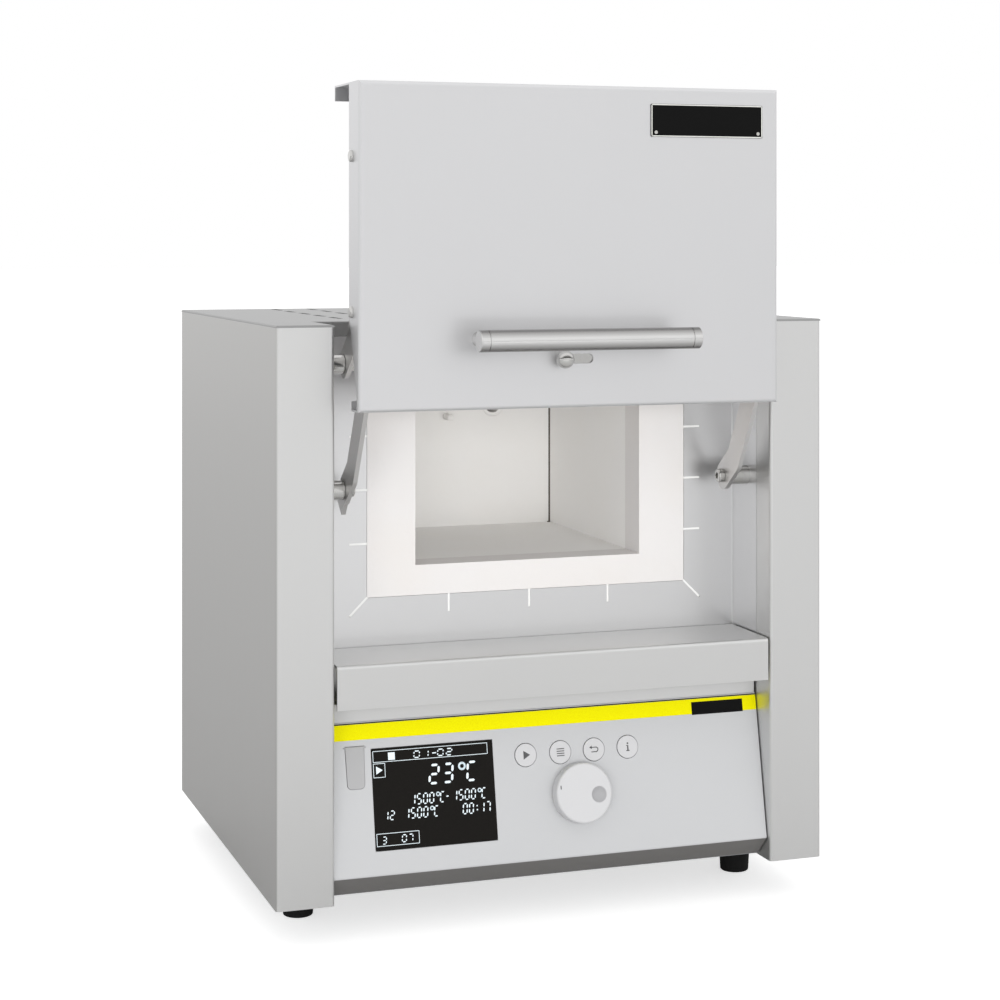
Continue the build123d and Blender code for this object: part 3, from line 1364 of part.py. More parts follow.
def main():
    os.makedirs("parts", exist_ok=True)
    left = side_panel()
    lower_left, lower_right = arms(STUD_LOW_Z, JOURNAL_FIT, True)
    upper_left, upper_right = arms(STUD_LOW_Z + STUD_PITCH, OPEN_PIVOT_FIT, False)
    nodes = {
        "side_panel_left": left,
        "side_panel_right": mirrored(left),
        "top_cover": top_cover(),
        "rear_panel": rear_panel(),
        "base_plate": base_plate(),
        "front_plate": front_plate(),
        "sill_cover": sill_cover(),
        "feet": feet(),
        "casing_screws": casing_screws(),
        "insulation_collar": insulation_collar(),
        "muffle_floor": muffle_tile(MUFFLE_LOW_Z),
        "muffle_roof": muffle_tile(MOUTH_TOP_Z),
        "muffle_rear_wall": muffle_rear_wall(),
        "heating_plates": heating_plates(),
        "heating_coils": group([coil(COIL_R), mirrored(coil(COIL_R))]),
        "insulation_sides": insulation_sides(),
        "insulation_roof_floor": insulation_roof_floor(),
        "insulation_rear": insulation_rear(),
        "inner_casing": inner_casing(),
        "thermocouple": thermocouple(),
        "exhaust_pipe": exhaust_pipe(),
        "stud_mount_plates": stud_mount_plates(),
        "pivot_studs": pivot_studs(),
        "stud_bolts": stud_bolts(),
        "arm_lower_left": lower_left,
        "arm_lower_right": lower_right,
        "arm_upper_left": upper_left,
        "arm_upper_right": upper_right,
        "door_panel": door_panel(),
        "door_carriers": door_carriers(),
        "door_pivot_pins": door_pivot_pins(),
        "door_plug_tray": door_plug_tray(),
        "door_insulation": door_insulation(),
        "door_side_screws": door_side_screws(),
        "handle_tube": handle_tube(),
        "handle_end_caps": handle_end_caps(),
        "handle_posts": handle_posts(),
        "air_slider": air_slider(),
        "slider_guide": slider_guide(),
        "name_plate": name_plate(),
        "controller_panel": controller_panel(),
        "accent_stripe": accent_stripe(),
        "display_module": display_module(),
        "controller_board": controller_board(),
        "dial_encoder": dial_encoder(),
        "encoder_shaft": encoder_shaft(),
        "dial_knob": dial_knob(),
        "usb_socket": usb_socket(),
        "usb_flap": usb_flap(),
        "mains_inlet": mains_inlet(),
        "mains_rocker": mains_rocker(),
        "solid_state_relay": solid_state_relay(),
        "fan_frame": fan_frame(),
        "fan_rotor": fan_rotor(),
        "fan_guard": fan_guard(),
    }
    for name, x in zip(("play", "menu", "back", "info"), BUTTON_X):
        nodes[f"button_{name}"] = button(x)
    for name, shape in nodes.items():
        save(name, shape)


main()
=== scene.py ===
import math

import bmesh
import bpy
from mathutils import Matrix, Vector

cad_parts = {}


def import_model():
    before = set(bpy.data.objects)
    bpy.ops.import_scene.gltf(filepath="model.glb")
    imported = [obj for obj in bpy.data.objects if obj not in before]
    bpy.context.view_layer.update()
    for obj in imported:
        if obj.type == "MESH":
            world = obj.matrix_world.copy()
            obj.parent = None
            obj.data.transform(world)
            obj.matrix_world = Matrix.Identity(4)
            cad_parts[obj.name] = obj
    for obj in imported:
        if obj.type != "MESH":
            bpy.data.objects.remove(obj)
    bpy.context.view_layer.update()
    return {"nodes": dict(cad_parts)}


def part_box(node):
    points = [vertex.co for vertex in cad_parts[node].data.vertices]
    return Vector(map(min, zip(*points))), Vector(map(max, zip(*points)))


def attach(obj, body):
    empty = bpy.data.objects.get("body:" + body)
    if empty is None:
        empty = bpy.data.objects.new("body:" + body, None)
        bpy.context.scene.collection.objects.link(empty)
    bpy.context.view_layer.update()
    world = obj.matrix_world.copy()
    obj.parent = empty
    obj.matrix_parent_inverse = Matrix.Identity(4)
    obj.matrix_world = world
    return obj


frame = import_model()
NODES = frame["nodes"]
MM_PER_M = 1000

# The controller's leaning face: its bottom edge, and how far it leans back
FACE_ORIGIN = Vector((0.0, -0.1293, 0.041))
FACE_LEAN = math.atan2(18.8, 96.5)

# Heights above the face, and thickness of what is printed on it
GLASS_LIFT = 0.2
PRINT = 0.03
BUTTON_LIFT = 0.8
DIAL_LIFT = 9.9

# Places on the controller, millimetres: across from the middle, and up the face
DISPLAY_CENTRE = (-83.0, 47.8)
DISPLAY_SIZE = (83.4, 64.9)
BUTTONS = {"play": -18.3, "menu": 6.4, "back": 30.6, "info": 55.1}
BUTTON_V = 68.4
DIAL = (18.5, 41.1)
DIAL_MARK = ((-16.95, -16.25), (3.6, 6.2))
DIMPLE = (28.7, 39.6)
STRIPE_HALF = 153.2
LABEL_X = (104.5, 143.0)
LABEL_V = (86.0, 94.6)
LABEL_THICK = 0.12
# Along the seam above the stripe, a thin black strip of painted shade: where it lies up the face, and its
# thickness
SEAM_SHADE_V = (96.7, 97.4)
SEAM_SHADE_THICK = 0.05

# Where the painted shade of the dial's dimple starts to fade and where it ends, metres from its centre
DIMPLE_RIM = (0.00486, 0.005616)

# The door plate, millimetres: its border, and its rivets' places from the side and the foot
BORDER_INSET = 0.5
BORDER_W = 0.6
RIVET_INSET = (3.4, 2.9)
RIVET_R = 1.15
RIVET_H = 0.35

# The plate round the chamber mouth: its slits, millimetres, and where it is, metres
COLLAR_HALF = (116.2, 72.7)
SLIT_PITCH = (58.2, 36.2)
SLIT_L = 11.2
SLIT_W = 1.4
SLIT_FILL = 1.35
PLATE_BACK_Y = -0.0710
MOUTH_MID_Z = 0.2841

# The chamber's right rear corner, millimetres: painted shade in its joint, and a dark dot of painted shade
# at its foot
MOUTH_HALF_W = 82.0
CHAMBER_H = 104.2
JOINT_SHADE_W = 1.0
SHADE_DOT_R = 1.2
SHADE_DOT_H = 0.5

# The flange above the controller: its height range and half width, millimetres, and its place, metres
UPSTAND_Z = (137.0, 149.4)
UPSTAND_HALF = 153.0
UPSTAND_THICK = 1.0
UPSTAND_Y = -0.1085

# The rocker's pivot, metres, its tilt at rest, and the height of its face, metres
ROCKER_PIVOT = (0.191, 0.1015)
ROCKER_TILT = math.radians(-9)
ROCKER_FACE = 0.0037

# Marks on the rocker, millimetres: a line, and a ring by centre, radius and width
ROCKER_LINE = ((-0.35, 0.35), (2.4, 5.0))
ROCKER_RING = (0, -3.7, 1.2, 0.45)
ROCKER_INK = 0.1

# Where the casing's outer side faces begin, and the heights between which painted shade darkens them
# towards their foot, metres
OUTER_SIDE = (0.1915, 0.1920)
SIDE_SHADE_Z = (0.03, 0.36)
# Share of the side colour left at the foot, where the painted shade is deepest
SIDE_SHADE = 0.78

# Noise, cycles per metre: soft clouds on steel and on plastic
STEEL_CLOUDS = 7.0
PLASTIC_CLOUDS = 9.0

# Grain: cycles per metre across and along it, and the three ways it can run
ACROSS = 2600
ALONG = 18
GRAIN_UP = (ACROSS, ACROSS, ALONG)
GRAIN_ACROSS = (ALONG, ACROSS, ACROSS)
GRAIN_BACK = (ACROSS, ALONG, ACROSS)

# Camera and light
CAMERA_PLACE = (-0.50353, -1.48030, 0.45386)
CAMERA_YAW = 0.330
CAMERA_LENS = 77.966
CAMERA_SHIFT_Y = -0.26216
SENSOR_W = 36.0
FAR = 200.0
FILL = 0.80
SOFTBOX_PLACE = (-0.4, -2.15, 0.36)
SOFTBOX_SIZE = (2.8, 0.7)
SOFTBOX_LEVEL = 4.1
SOFTBOX_AIM = (0.0, 0.0, 0.25)
FLOOR_PAPER = 0.78
FLOOR_GLOW = 0.60
FLOOR_HALF = 30.0


class Surface:
    """A procedural material whose pattern is fixed to the part, in metres."""

    def __init__(self, name, colour, roughness, metallic=0.0, **sockets):
        self.material = bpy.data.materials.new(name)
        self.material.use_nodes = True
        self.tree = self.material.node_tree
        self.shader = self.tree.nodes["Principled BSDF"]
        self.place = self.tree.nodes.new("ShaderNodeTexCoord").outputs["Object"]
        self.colour = colour
        self.roughness = roughness
        self.shader.inputs["Base Color"].default_value = (*colour, 1)
        self.shader.inputs["Roughness"].default_value = roughness
        self.shader.inputs["Metallic"].default_value = metallic
        for socket, value in sockets.items():
            self.shader.inputs[socket.replace("_", " ")].default_value = value

    def link(self, output, socket):
        """Feed an output into an input socket."""
        self.tree.links.new(output, socket)

    def stretched(self, scale):
        """Coordinates scaled along each axis."""
        node = self.tree.nodes.new("ShaderNodeMapping")
        node.inputs["Scale"].default_value = scale
        self.link(self.place, node.inputs["Vector"])
        return node.outputs["Vector"]

    def noise(self, scale, detail=3.0, rough=0.5, place=None, distortion=0.0):
        """Noise from 0 to 1."""
        node = self.tree.nodes.new("ShaderNodeTexNoise")
        node.inputs["Scale"].default_value = scale
        node.inputs["Detail"].default_value = detail
        node.inputs["Roughness"].default_value = rough
        node.inputs["Distortion"].default_value = distortion
        self.link(place or self.place, node.inputs["Vector"])
        return node.outputs["Fac"]

    def cells(self, scale, feature="F1"):
        """Distance to the nearest of scattered points, or to the nearest edge between them."""
        node = self.tree.nodes.new("ShaderNodeTexVoronoi")
        node.feature = feature
        node.inputs["Scale"].default_value = scale
        self.link(self.place, node.inputs["Vector"])
        return node.outputs["Distance"]

    def remap(self, value, source, target):
        """Map one range onto another, clamped."""
        node = self.tree.nodes.new("ShaderNodeMapRange")
        for socket, number in zip(("From Min", "From Max", "To Min", "To Max"), (*source, *target)):
            node.inputs[socket].default_value = number
        self.link(value, node.inputs["Value"])
        return node.outputs["Result"]

    def maths(self, operation, *values):
        """Arithmetic on values or numbers."""
        node = self.tree.nodes.new("ShaderNodeMath")
        node.operation = operation
        for index, value in enumerate(values):
            if isinstance(value, (int, float)):
                node.inputs[index].default_value = value
            else:
                self.link(value, node.inputs[index])
        return node.outputs["Value"]

    def mean(self, first, second):
        """The mean of two values."""
        return self.maths("MULTIPLY", self.maths("ADD", first, second), 0.5)

    def part_of(self, vector, axis):
        """One component of a vector."""
        node = self.tree.nodes.new("ShaderNodeSeparateXYZ")
        self.link(vector, node.inputs["Vector"])
        return node.outputs[axis]

    def distance(self, point):
        """Distance from a point, in metres."""
        node = self.tree.nodes.new("ShaderNodeVectorMath")
        node.operation = "DISTANCE"
        node.inputs[1].default_value = point
        self.link(self.place, node.inputs[0])
        return node.outputs["Value"]

    def blend(self, factor, first, second):
        """Mix two colours, each a colour or a socket."""
        node = self.tree.nodes.new("ShaderNodeMix")
        node.data_type = "RGBA"
        sockets = [socket for socket in node.inputs if socket.type == "RGBA"]
        for socket, colour in zip(sockets, (first, second)):
            if isinstance(colour, tuple):
                socket.default_value = (*colour, 1)
            else:
                self.link(colour, socket)
        self.link(factor, node.inputs["Factor"])
        return next(socket for socket in node.outputs if socket.type == "RGBA")

    def tint(self, value, spread):
        """The base colour, lighter and darker by a share where the value is high and low."""
        low = tuple(channel * (1 - spread) for channel in self.colour)
        high = tuple(min(1.0, channel * (1 + spread)) for channel in self.colour)
        return self.blend(value, low, high)

    def set_colour(self, output):
        """Use an output as the colour."""
        self.link(output, self.shader.inputs["Base Color"])

    def set_roughness(self, value, spread):
        """Roughness that varies about the base value."""
        limits = (self.roughness - spread, self.roughness + spread)
        self.link(self.remap(value, (0, 1), limits), self.shader.inputs["Roughness"])

    def set_bump(self, *layers):
        """Bumps from pairs of a height and its depth in millimetres."""
        normal = None
        for height, depth in layers:
            node = self.tree.nodes.new("ShaderNodeBump")
            node.inputs["Strength"].default_value = 1.0
            node.inputs["Distance"].default_value = depth / MM_PER_M
            self.link(height, node.inputs["Height"])
            if normal:
                self.link(normal, node.inputs["Normal"])
            normal = node.outputs["Normal"]
        self.link(normal, self.shader.inputs["Normal"])


def brushed(name, colour, roughness, stretch, depth=0.004, spread=0.03):
    """Sheet steel with a fine grain along one axis, and soft clouds."""
    surface = Surface(name, colour, roughness, metallic=1.0)
    grain = surface.noise(1.0, detail=4.0, rough=0.7, place=surface.stretched(stretch))
    clouds = surface.noise(STEEL_CLOUDS, detail=2.0)
    surface.set_colour(surface.tint(surface.mean(grain, clouds), spread))
    surface.set_roughness(grain, 0.06)
    surface.set_bump((grain, depth))
    return surface.material


def casing(name, front, side):
    """Grained sheet steel, with painted shade on the two outer side faces, deepest towards their foot."""
    surface = Surface(name, front, 0.42, metallic=1.0)
    grain = surface.noise(1.0, detail=4.0, rough=0.7, place=surface.stretched(GRAIN_UP))
    clouds = surface.noise(STEEL_CLOUDS, detail=2.0)
    sideways = surface.maths("ABSOLUTE", surface.part_of(surface.place, "X"))
    outward = surface.remap(sideways, OUTER_SIDE, (0.0, 1.0))
    height = surface.remap(surface.part_of(surface.place, "Z"), SIDE_SHADE_Z, (0.0, 1.0))
    # Painted shade: a darker colour on the outer side faces, darker still towards their foot
    painted_side_shade = surface.blend(height, tuple(channel * SIDE_SHADE for channel in side), side)
    surface.set_colour(surface.blend(outward, surface.tint(surface.mean(grain, clouds), 0.03), painted_side_shade))
    surface.set_roughness(grain, 0.06)
    surface.set_bump((grain, 0.004))
    return surface.material


def turned(name, colour, roughness):
    """Turned or rolled steel with faint rings and specks."""
    surface = Surface(name, colour, roughness, metallic=1.0)
    rings = surface.noise(1.0, detail=2.0, place=surface.stretched((ACROSS, 300, 300)))
    specks = surface.noise(900.0, detail=2.0)
    surface.set_colour(surface.tint(rings, 0.06))
    surface.set_roughness(specks, 0.05)
    surface.set_bump((rings, 0.003))
    return surface.material


def bar_steel(name, bright, dark):
    """Ground round bar, with painted shade darkening its top and its underside."""
    surface = Surface(name, bright, 0.24, metallic=1.0)
    normal = surface.tree.nodes.new("ShaderNodeNewGeometry").outputs["Normal"]
    up_or_down = surface.maths("ABSOLUTE", surface.part_of(normal, "Z"))
    # Painted shade: faces that point up or down take the dark colour
    shade = surface.remap(up_or_down, (0.25, 0.85), (0.0, 1.0))
    grain = surface.noise(1.0, place=surface.stretched((60, ACROSS, ACROSS)))
    surface.set_colour(surface.blend(shade, surface.tint(grain, 0.08), dark))
    surface.set_roughness(grain, 0.05)
    surface.set_bump((grain, 0.003))
    return surface.material


def fibre(name, colour, shade, depth=0.10):
    """Vacuum-formed fibre: matted threads, shallow pits and warm clouds."""
    surface = Surface(name, colour, 0.95, Specular_IOR_Level=0.2)
    threads = surface.noise(420.0, detail=6.0, rough=0.7, distortion=1.5)
    pits = surface.remap(surface.cells(160.0), (0.0, 0.35), (0.0, 1.0))
    clouds = surface.noise(16.0, detail=4.0)
    warm = surface.blend(surface.remap(clouds, (0.42, 0.75), (0.0, 1.0)), colour, shade)
    fine = surface.remap(threads, (0.3, 0.7), (0.0, 0.10))
    surface.set_colour(surface.blend(fine, warm, tuple(channel * 0.93 for channel in colour)))
    surface.set_bump((threads, depth), (pits, depth * 0.6))
    return surface.material


def plastic(name, colour, roughness=0.42, depth=0.006, coat=0.0):
    """Moulded plastic with a spark-eroded grain and faint flow clouds."""
    surface = Surface(name, colour, roughness, Coat_Weight=coat)
    grain = surface.noise(ACROSS, detail=2.0, rough=0.6)
    clouds = surface.noise(PLASTIC_CLOUDS, detail=2.0)
    surface.set_colour(surface.tint(surface.mean(grain, clouds), 0.03))
    surface.set_roughness(grain, 0.06)
    surface.set_bump((grain, depth))
    return surface.material


def dial_plastic(name, colour, dimple_painted_shade):
    """Pale plastic with painted shade in its finger dimple."""
    surface = Surface(name, colour, 0.35)
    grain = surface.noise(ACROSS, detail=2.0, rough=0.6)
    centre = face_matrix(*DIMPLE, DIAL_LIFT).translation
    inside = surface.remap(surface.distance(centre), DIMPLE_RIM, (1.0, 0.0))
    # Painted shade: a greyer colour inside the finger dimple
    surface.set_colour(surface.blend(inside, surface.tint(grain, 0.03), dimple_painted_shade))
    surface.set_roughness(grain, 0.06)
    surface.set_bump((grain, 0.006))
    return surface.material


def rubber(name, colour):
    """Matt moulded rubber, dusty on its high spots."""
    surface = Surface(name, colour, 0.75, Specular_IOR_Level=0.15)
    grain = surface.noise(1100.0, detail=3.0)
    dust = surface.noise(60.0, detail=4.0)
    pale = tuple(min(1.0, channel * 2.4) for channel in colour)
    surface.set_colour(surface.blend(surface.remap(dust, (0.55, 0.8), (0.0, 0.5)), colour, pale))
    surface.set_roughness(dust, 0.08)
    surface.set_bump((grain, 0.03))
    return surface.material


def oxidised(name, colour):
    """Heating wire with dark and brown oxide patches."""
    surface = Surface(name, colour, 0.6, metallic=0.8)
    patches = surface.noise(140.0, detail=5.0)
    rust = surface.remap(patches, (0.4, 0.6), (0.0, 1.0))
    surface.set_colour(surface.blend(rust, colour, (0.16, 0.09, 0.05)))
    surface.set_roughness(patches, 0.12)
    surface.set_bump((patches, 0.05))
    return surface.material


def board(name):
    """Green solder resist with fine tracks under it."""
    surface = Surface(name, (0.02, 0.12, 0.06), 0.35)
    tracks = surface.remap(surface.cells(220.0, feature="DISTANCE_TO_EDGE"), (0.04, 0.06), (0.0, 1.0))
    surface.set_colour(surface.blend(tracks, (0.05, 0.24, 0.12), surface.colour))
    surface.set_bump((tracks, 0.02))
    return surface.material


def glass_black(name, colour):
    """Dark display glass with a faint grid of dots and a thin smudge."""
    surface = Surface(name, colour, 0.3, Specular_IOR_Level=0.06)
    dots = surface.noise(2200.0, detail=0.0)
    smudge = surface.noise(22.0, detail=3.0)
    surface.set_colour(surface.tint(dots, 0.3))
    surface.set_roughness(smudge, 0.05)
    surface.set_bump((dots, 0.001))
    return surface.material


def ink(name, colour, roughness=0.5, glow=0.0):
    """Screen-printed ink with a slightly uneven film."""
    surface = Surface(name, colour, roughness)
    film = surface.noise(1500.0, detail=2.0)
    surface.set_colour(surface.tint(film, 0.04))
    surface.set_bump((film, 0.002))
    surface.shader.inputs["Emission Color"].default_value = (*colour, 1)
    surface.shader.inputs["Emission Strength"].default_value = glow
    return surface.material


def enamel(name, colour):
    """Glossy enamel with a light orange peel and dust specks."""
    surface = Surface(name, colour, 0.35, Specular_IOR_Level=0.05)
    peel = surface.noise(420.0, detail=2.0)
    specks = surface.noise(2500.0, detail=1.0)
    surface.set_colour(surface.tint(specks, 0.2))
    surface.set_roughness(peel, 0.05)
    surface.set_bump((peel, 0.008))
    return surface.material


def housing(name, colour, under, under_top):
    """Panel plastic, with the slanted steel part below it darkened to a dark grey by painted shade."""
    surface = Surface(name, colour, 0.45)
    grain = surface.noise(ACROSS, detail=2.0, rough=0.6)
    clouds = surface.noise(PLASTIC_CLOUDS, detail=2.0)
    height = surface.part_of(surface.place, "Z")
    # Painted shade: below the given height the colour turns to a dark grey for steel in shade
    below = surface.remap(height, (under_top, under_top + 0.0002), (1.0, 0.0))
    upper = surface.tint(surface.mean(grain, clouds), 0.03)
    surface.set_colour(surface.blend(below, upper, under))
    surface.set_roughness(grain, 0.06)
    surface.set_bump((grain, 0.006))
    return surface.material


def paint(material, *names):
    """Give CAD nodes one finish."""
    for name in names:
        slots = NODES[name].data.materials
        slots.clear()
        slots.append(material)


def paint_casing():
    """Finishes of the casing and what is inside it."""
    # The second colour, for the outer side faces, is painted shade
    paint(casing("casing_sheet", (0.745, 0.745, 0.74), (0.625, 0.62, 0.61)),
          "side_panel_left", "side_panel_right", "rear_panel", "sill_cover")
    paint(brushed("cover_sheet", (0.38, 0.38, 0.38), 0.42, GRAIN_BACK), "top_cover")
    paint(brushed("recess_sheet", (0.78, 0.78, 0.785), 0.32, GRAIN_ACROSS), "front_plate")
    paint(brushed("zinc_sheet", (0.42, 0.43, 0.44), 0.45, (40, 40, 40), depth=0.01, spread=0.12),
          "base_plate", "inner_casing", "stud_mount_plates", "door_carriers", "door_plug_tray")
    paint(rubber("foot_rubber", (0.010, 0.010, 0.010)), "feet")


def paint_door():
    """Finishes of the door, its arms and the small steel pieces."""
    paint(brushed("door_sheet", (0.75, 0.75, 0.76), 0.40, GRAIN_UP), "door_panel")
    paint(brushed("guide_steel", (0.13, 0.13, 0.13), 0.5, (60, ACROSS, ACROSS), spread=0.1), "slider_guide")
    paint(brushed("arm_plate", (0.68, 0.67, 0.66), 0.36, (900, 900, 60), depth=0.008, spread=0.08),
          "arm_lower_left", "arm_lower_right", "arm_upper_left", "arm_upper_right")
    paint(turned("bright_steel", (0.62, 0.615, 0.60), 0.16),
          "pivot_studs", "stud_bolts", "door_pivot_pins", "door_side_screws", "casing_screws",
          "air_slider", "usb_socket", "fan_guard", "dial_encoder", "encoder_shaft")
    # The second colour is painted shade on the handle's top and underside
    paint(bar_steel("handle_steel", (0.72, 0.715, 0.71), (0.27, 0.265, 0.26)),
          "handle_tube", "handle_end_caps", "handle_posts")
    paint(enamel("plate_enamel", (0.006, 0.006, 0.006)), "name_plate")


def paint_hot_part():
    """Finishes of the chamber and its insulation."""
    paint(fibre("white_fibre", (0.85, 0.83, 0.82), (0.84, 0.81, 0.785)),
          "insulation_collar", "door_insulation", "insulation_sides", "insulation_roof_floor",
          "insulation_rear")
    paint(fibre("heating_ceramic", (0.985, 0.975, 0.96), (0.975, 0.96, 0.935), depth=0.05),
          "muffle_floor", "muffle_roof", "muffle_rear_wall", "heating_plates", "thermocouple",
          "exhaust_pipe")
    paint(oxidised("coil_wire", (0.09, 0.085, 0.08)), "heating_coils")


def paint_controller():
    """Finishes of the controller and the rear electrics."""
    # The dark grey for the slanted steel below the panel is painted shade
    paint(housing("panel_plastic", (0.55, 0.555, 0.565), (0.16, 0.155, 0.15), 0.0405), "controller_panel")
    paint(plastic("flap_plastic", (0.43, 0.43, 0.435)), "usb_flap")
    # The second colour is painted shade in the dial's finger dimple
    paint(dial_plastic("dial_plastic", (0.62, 0.62, 0.63), (0.40, 0.40, 0.41)), "dial_knob")
    paint(plastic("control_plastic", (0.60, 0.60, 0.61), roughness=0.35, coat=0.1),
          "button_play", "button_menu", "button_back", "button_info")
    paint(enamel("stripe_film", (1.0, 0.85, 0.001)), "accent_stripe")
    paint(glass_black("display_glass", (0.010, 0.009, 0.008)), "display_module")
    paint(board("solder_resist"), "controller_board")
    paint(plastic("black_plastic", (0.012, 0.012, 0.013), depth=0.012),
          "mains_inlet", "solid_state_relay", "fan_frame", "fan_rotor", "mains_rocker")


def front_matrix(x, y, z):
    """Turns a flat drawing to face the front, with its origin at a place in metres."""
    return Matrix.Translation((x, y, z)) @ Matrix.Rotation(math.pi / 2, 4, "X")


def face_matrix(x=0.0, v=0.0, lift=0.0):
    """Lays a flat drawing on the controller's face, with its origin at a place in millimetres."""
    lean = Matrix.Rotation(math.pi / 2 - FACE_LEAN, 4, "X")
    shift = Matrix.Translation(Vector((x, v, lift)) / MM_PER_M)
    return Matrix.Translation(FACE_ORIGIN) @ lean @ shift


def prism(mesh, outline, thickness):
    """Add a flat shape of some thickness, from its outline in millimetres."""
    corners = [mesh.verts.new((u / MM_PER_M, v / MM_PER_M, 0)) for u, v in outline]
    face = mesh.faces.new(corners)
    face.normal_update()
    if face.normal.z < 0:
        face.normal_flip()
    top = bmesh.ops.extrude_face_region(mesh, geom=[face])
    raised = [item for item in top["geom"] if isinstance(item, bmesh.types.BMVert)]
    bmesh.ops.translate(mesh, verts=raised, vec=(0, 0, thickness / MM_PER_M))


def rectangle(u_range, v_range):
    """Outline of a rectangle."""
    (left, right), (low, high) = u_range, v_range
    return [(left, low), (right, low), (right, high), (left, high)]


def disc(u, v, radius, corners=28):
    """Outline of a circle."""
    angles = [2 * math.pi * index / corners for index in range(corners)]
    return [(u + radius * math.cos(angle), v + radius * math.sin(angle)) for angle in angles]


def rounded(u_range, v_range, radius, steps=5):
    """Outline of a rectangle with round corners."""
    outline = []
    corners = [(u_range[1], v_range[1], 0), (u_range[0], v_range[1], 90),
               (u_range[0], v_range[0], 180), (u_range[1], v_range[0], 270)]
    for u, v, start in corners:
        centre_u = u - math.copysign(radius, u - sum(u_range) / 2)
        centre_v = v - math.copysign(radius, v - sum(v_range) / 2)
        for step in range(steps + 1):
            angle = math.radians(start + 90 * step / steps)
            outline.append((centre_u + radius * math.cos(angle), centre_v + radius * math.sin(angle)))
    return outline


def stroke(points, width):
    """Outlines of straight bars along a line of points."""
    bars = []
    for (u0, v0), (u1, v1) in zip(points, points[1:]):
        length = math.hypot(u1 - u0, v1 - v0)
        du, dv = (u1 - u0) / length, (v1 - v0) / length
        u0, v0 = u0 - du * width / 2, v0 - dv * width / 2
        u1, v1 = u1 + du * width / 2, v1 + dv * width / 2
        nu, nv = -dv * width / 2, du * width / 2
        bars.append([(u0 + nu, v0 + nv), (u1 + nu, v1 + nv), (u1 - nu, v1 - nv), (u0 - nu, v0 - nv)])
    return bars


def flat_piece(name, outlines, thickness, matrix, material, body):
    """A printed or laid-on piece made of flat shapes."""
    mesh = bmesh.new()
    for outline in outlines:
        prism(mesh, outline, thickness)
    mesh.transform(matrix)
    data = bpy.data.meshes.new(name)
    mesh.to_mesh(data)
    mesh.free()
    data.materials.append(material)
    piece = bpy.data.objects.new(name, data)
    bpy.context.scene.collection.objects.link(piece)
    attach(piece, body)


SEGMENTS = {
    "0": "abcdef", "1": "bc", "2": "abged", "3": "abgcd", "5": "afgcd", "7": "abc",
    "C": "afed", "-": "g",
}
SLANT = 0.09
SEGMENT_GAP = 0.47
SYMBOL_W = 0.62
NARROW_PITCH = 0.72


def digit(symbol, u, v, width, height, weight):
    """Seven-segment outlines of one symbol, its lower left corner at u, v."""
    half = height / 2
    gap = weight * SEGMENT_GAP
    ends = {
        "a": ((gap, height), (width - gap, height)),
        "b": ((width, height - gap), (width, half + gap)),
        "c": ((width, half - gap), (width, gap)),
        "d": ((gap, 0), (width - gap, 0)),
        "e": ((0, gap), (0, half - gap)),
        "f": ((0, half + gap), (0, height - gap)),
        "g": ((gap, half), (width - gap, half)),
    }
    bars = []
    for segment in SEGMENTS[symbol]:
        (u0, v0), (u1, v1) = ends[segment]
        along = (0, 1) if u0 == u1 else (1, 0)
        tip = weight / 2
        across = (along[1] * tip, along[0] * tip)
        lead = (along[0] * tip, along[1] * tip)
        if u0 + v0 > u1 + v1:
            u0, v0, u1, v1 = u1, v1, u0, v0
        outline = [
            (u0, v0), (u0 + lead[0] + across[0], v0 + lead[1] + across[1]),
            (u1 - lead[0] + across[0], v1 - lead[1] + across[1]), (u1, v1),
            (u1 - lead[0] - across[0], v1 - lead[1] - across[1]),
            (u0 + lead[0] - across[0], v0 + lead[1] - across[1]),
        ]
        bars.append([(u + x + SLANT * y, v + y) for x, y in outline])
    return bars


def writing(text, u, v, pitch, height, weight):
    """A line of symbols: digits, C, a dash, a colon, a degree sign or a space."""
    outlines = []
    for symbol in text:
        width = pitch * SYMBOL_W
        if symbol in SEGMENTS:
            outlines += digit(symbol, u, v, width, height, weight)
        elif symbol == "o":
            centre = (u + width * 0.45 + SLANT * height, v + height * 0.82)
            outlines += ring(*centre, height * 0.17, weight * 0.8)
        elif symbol == ":":
            for share in (0.3, 0.7):
                outlines.append(disc(u + width / 2, v + height * share, weight * 0.6, corners=10))
        u += pitch * (NARROW_PITCH if symbol in "o:-" else 1.0)
    return outlines


def ring(u, v, radius, width, corners=16):
    """Outlines of short bars round a circle."""
    angles = [2 * math.pi * index / corners for index in range(corners + 1)]
    points = [(u + radius * math.cos(angle), v + radius * math.sin(angle)) for angle in angles]
    return [bar for pair in zip(points, points[1:]) for bar in stroke(pair, width)]


def frame_lines(u_range, v_range, width):
    """Outlines of the four sides of a box."""
    corners = rectangle(u_range, v_range)
    return stroke(corners + corners[:1], width)


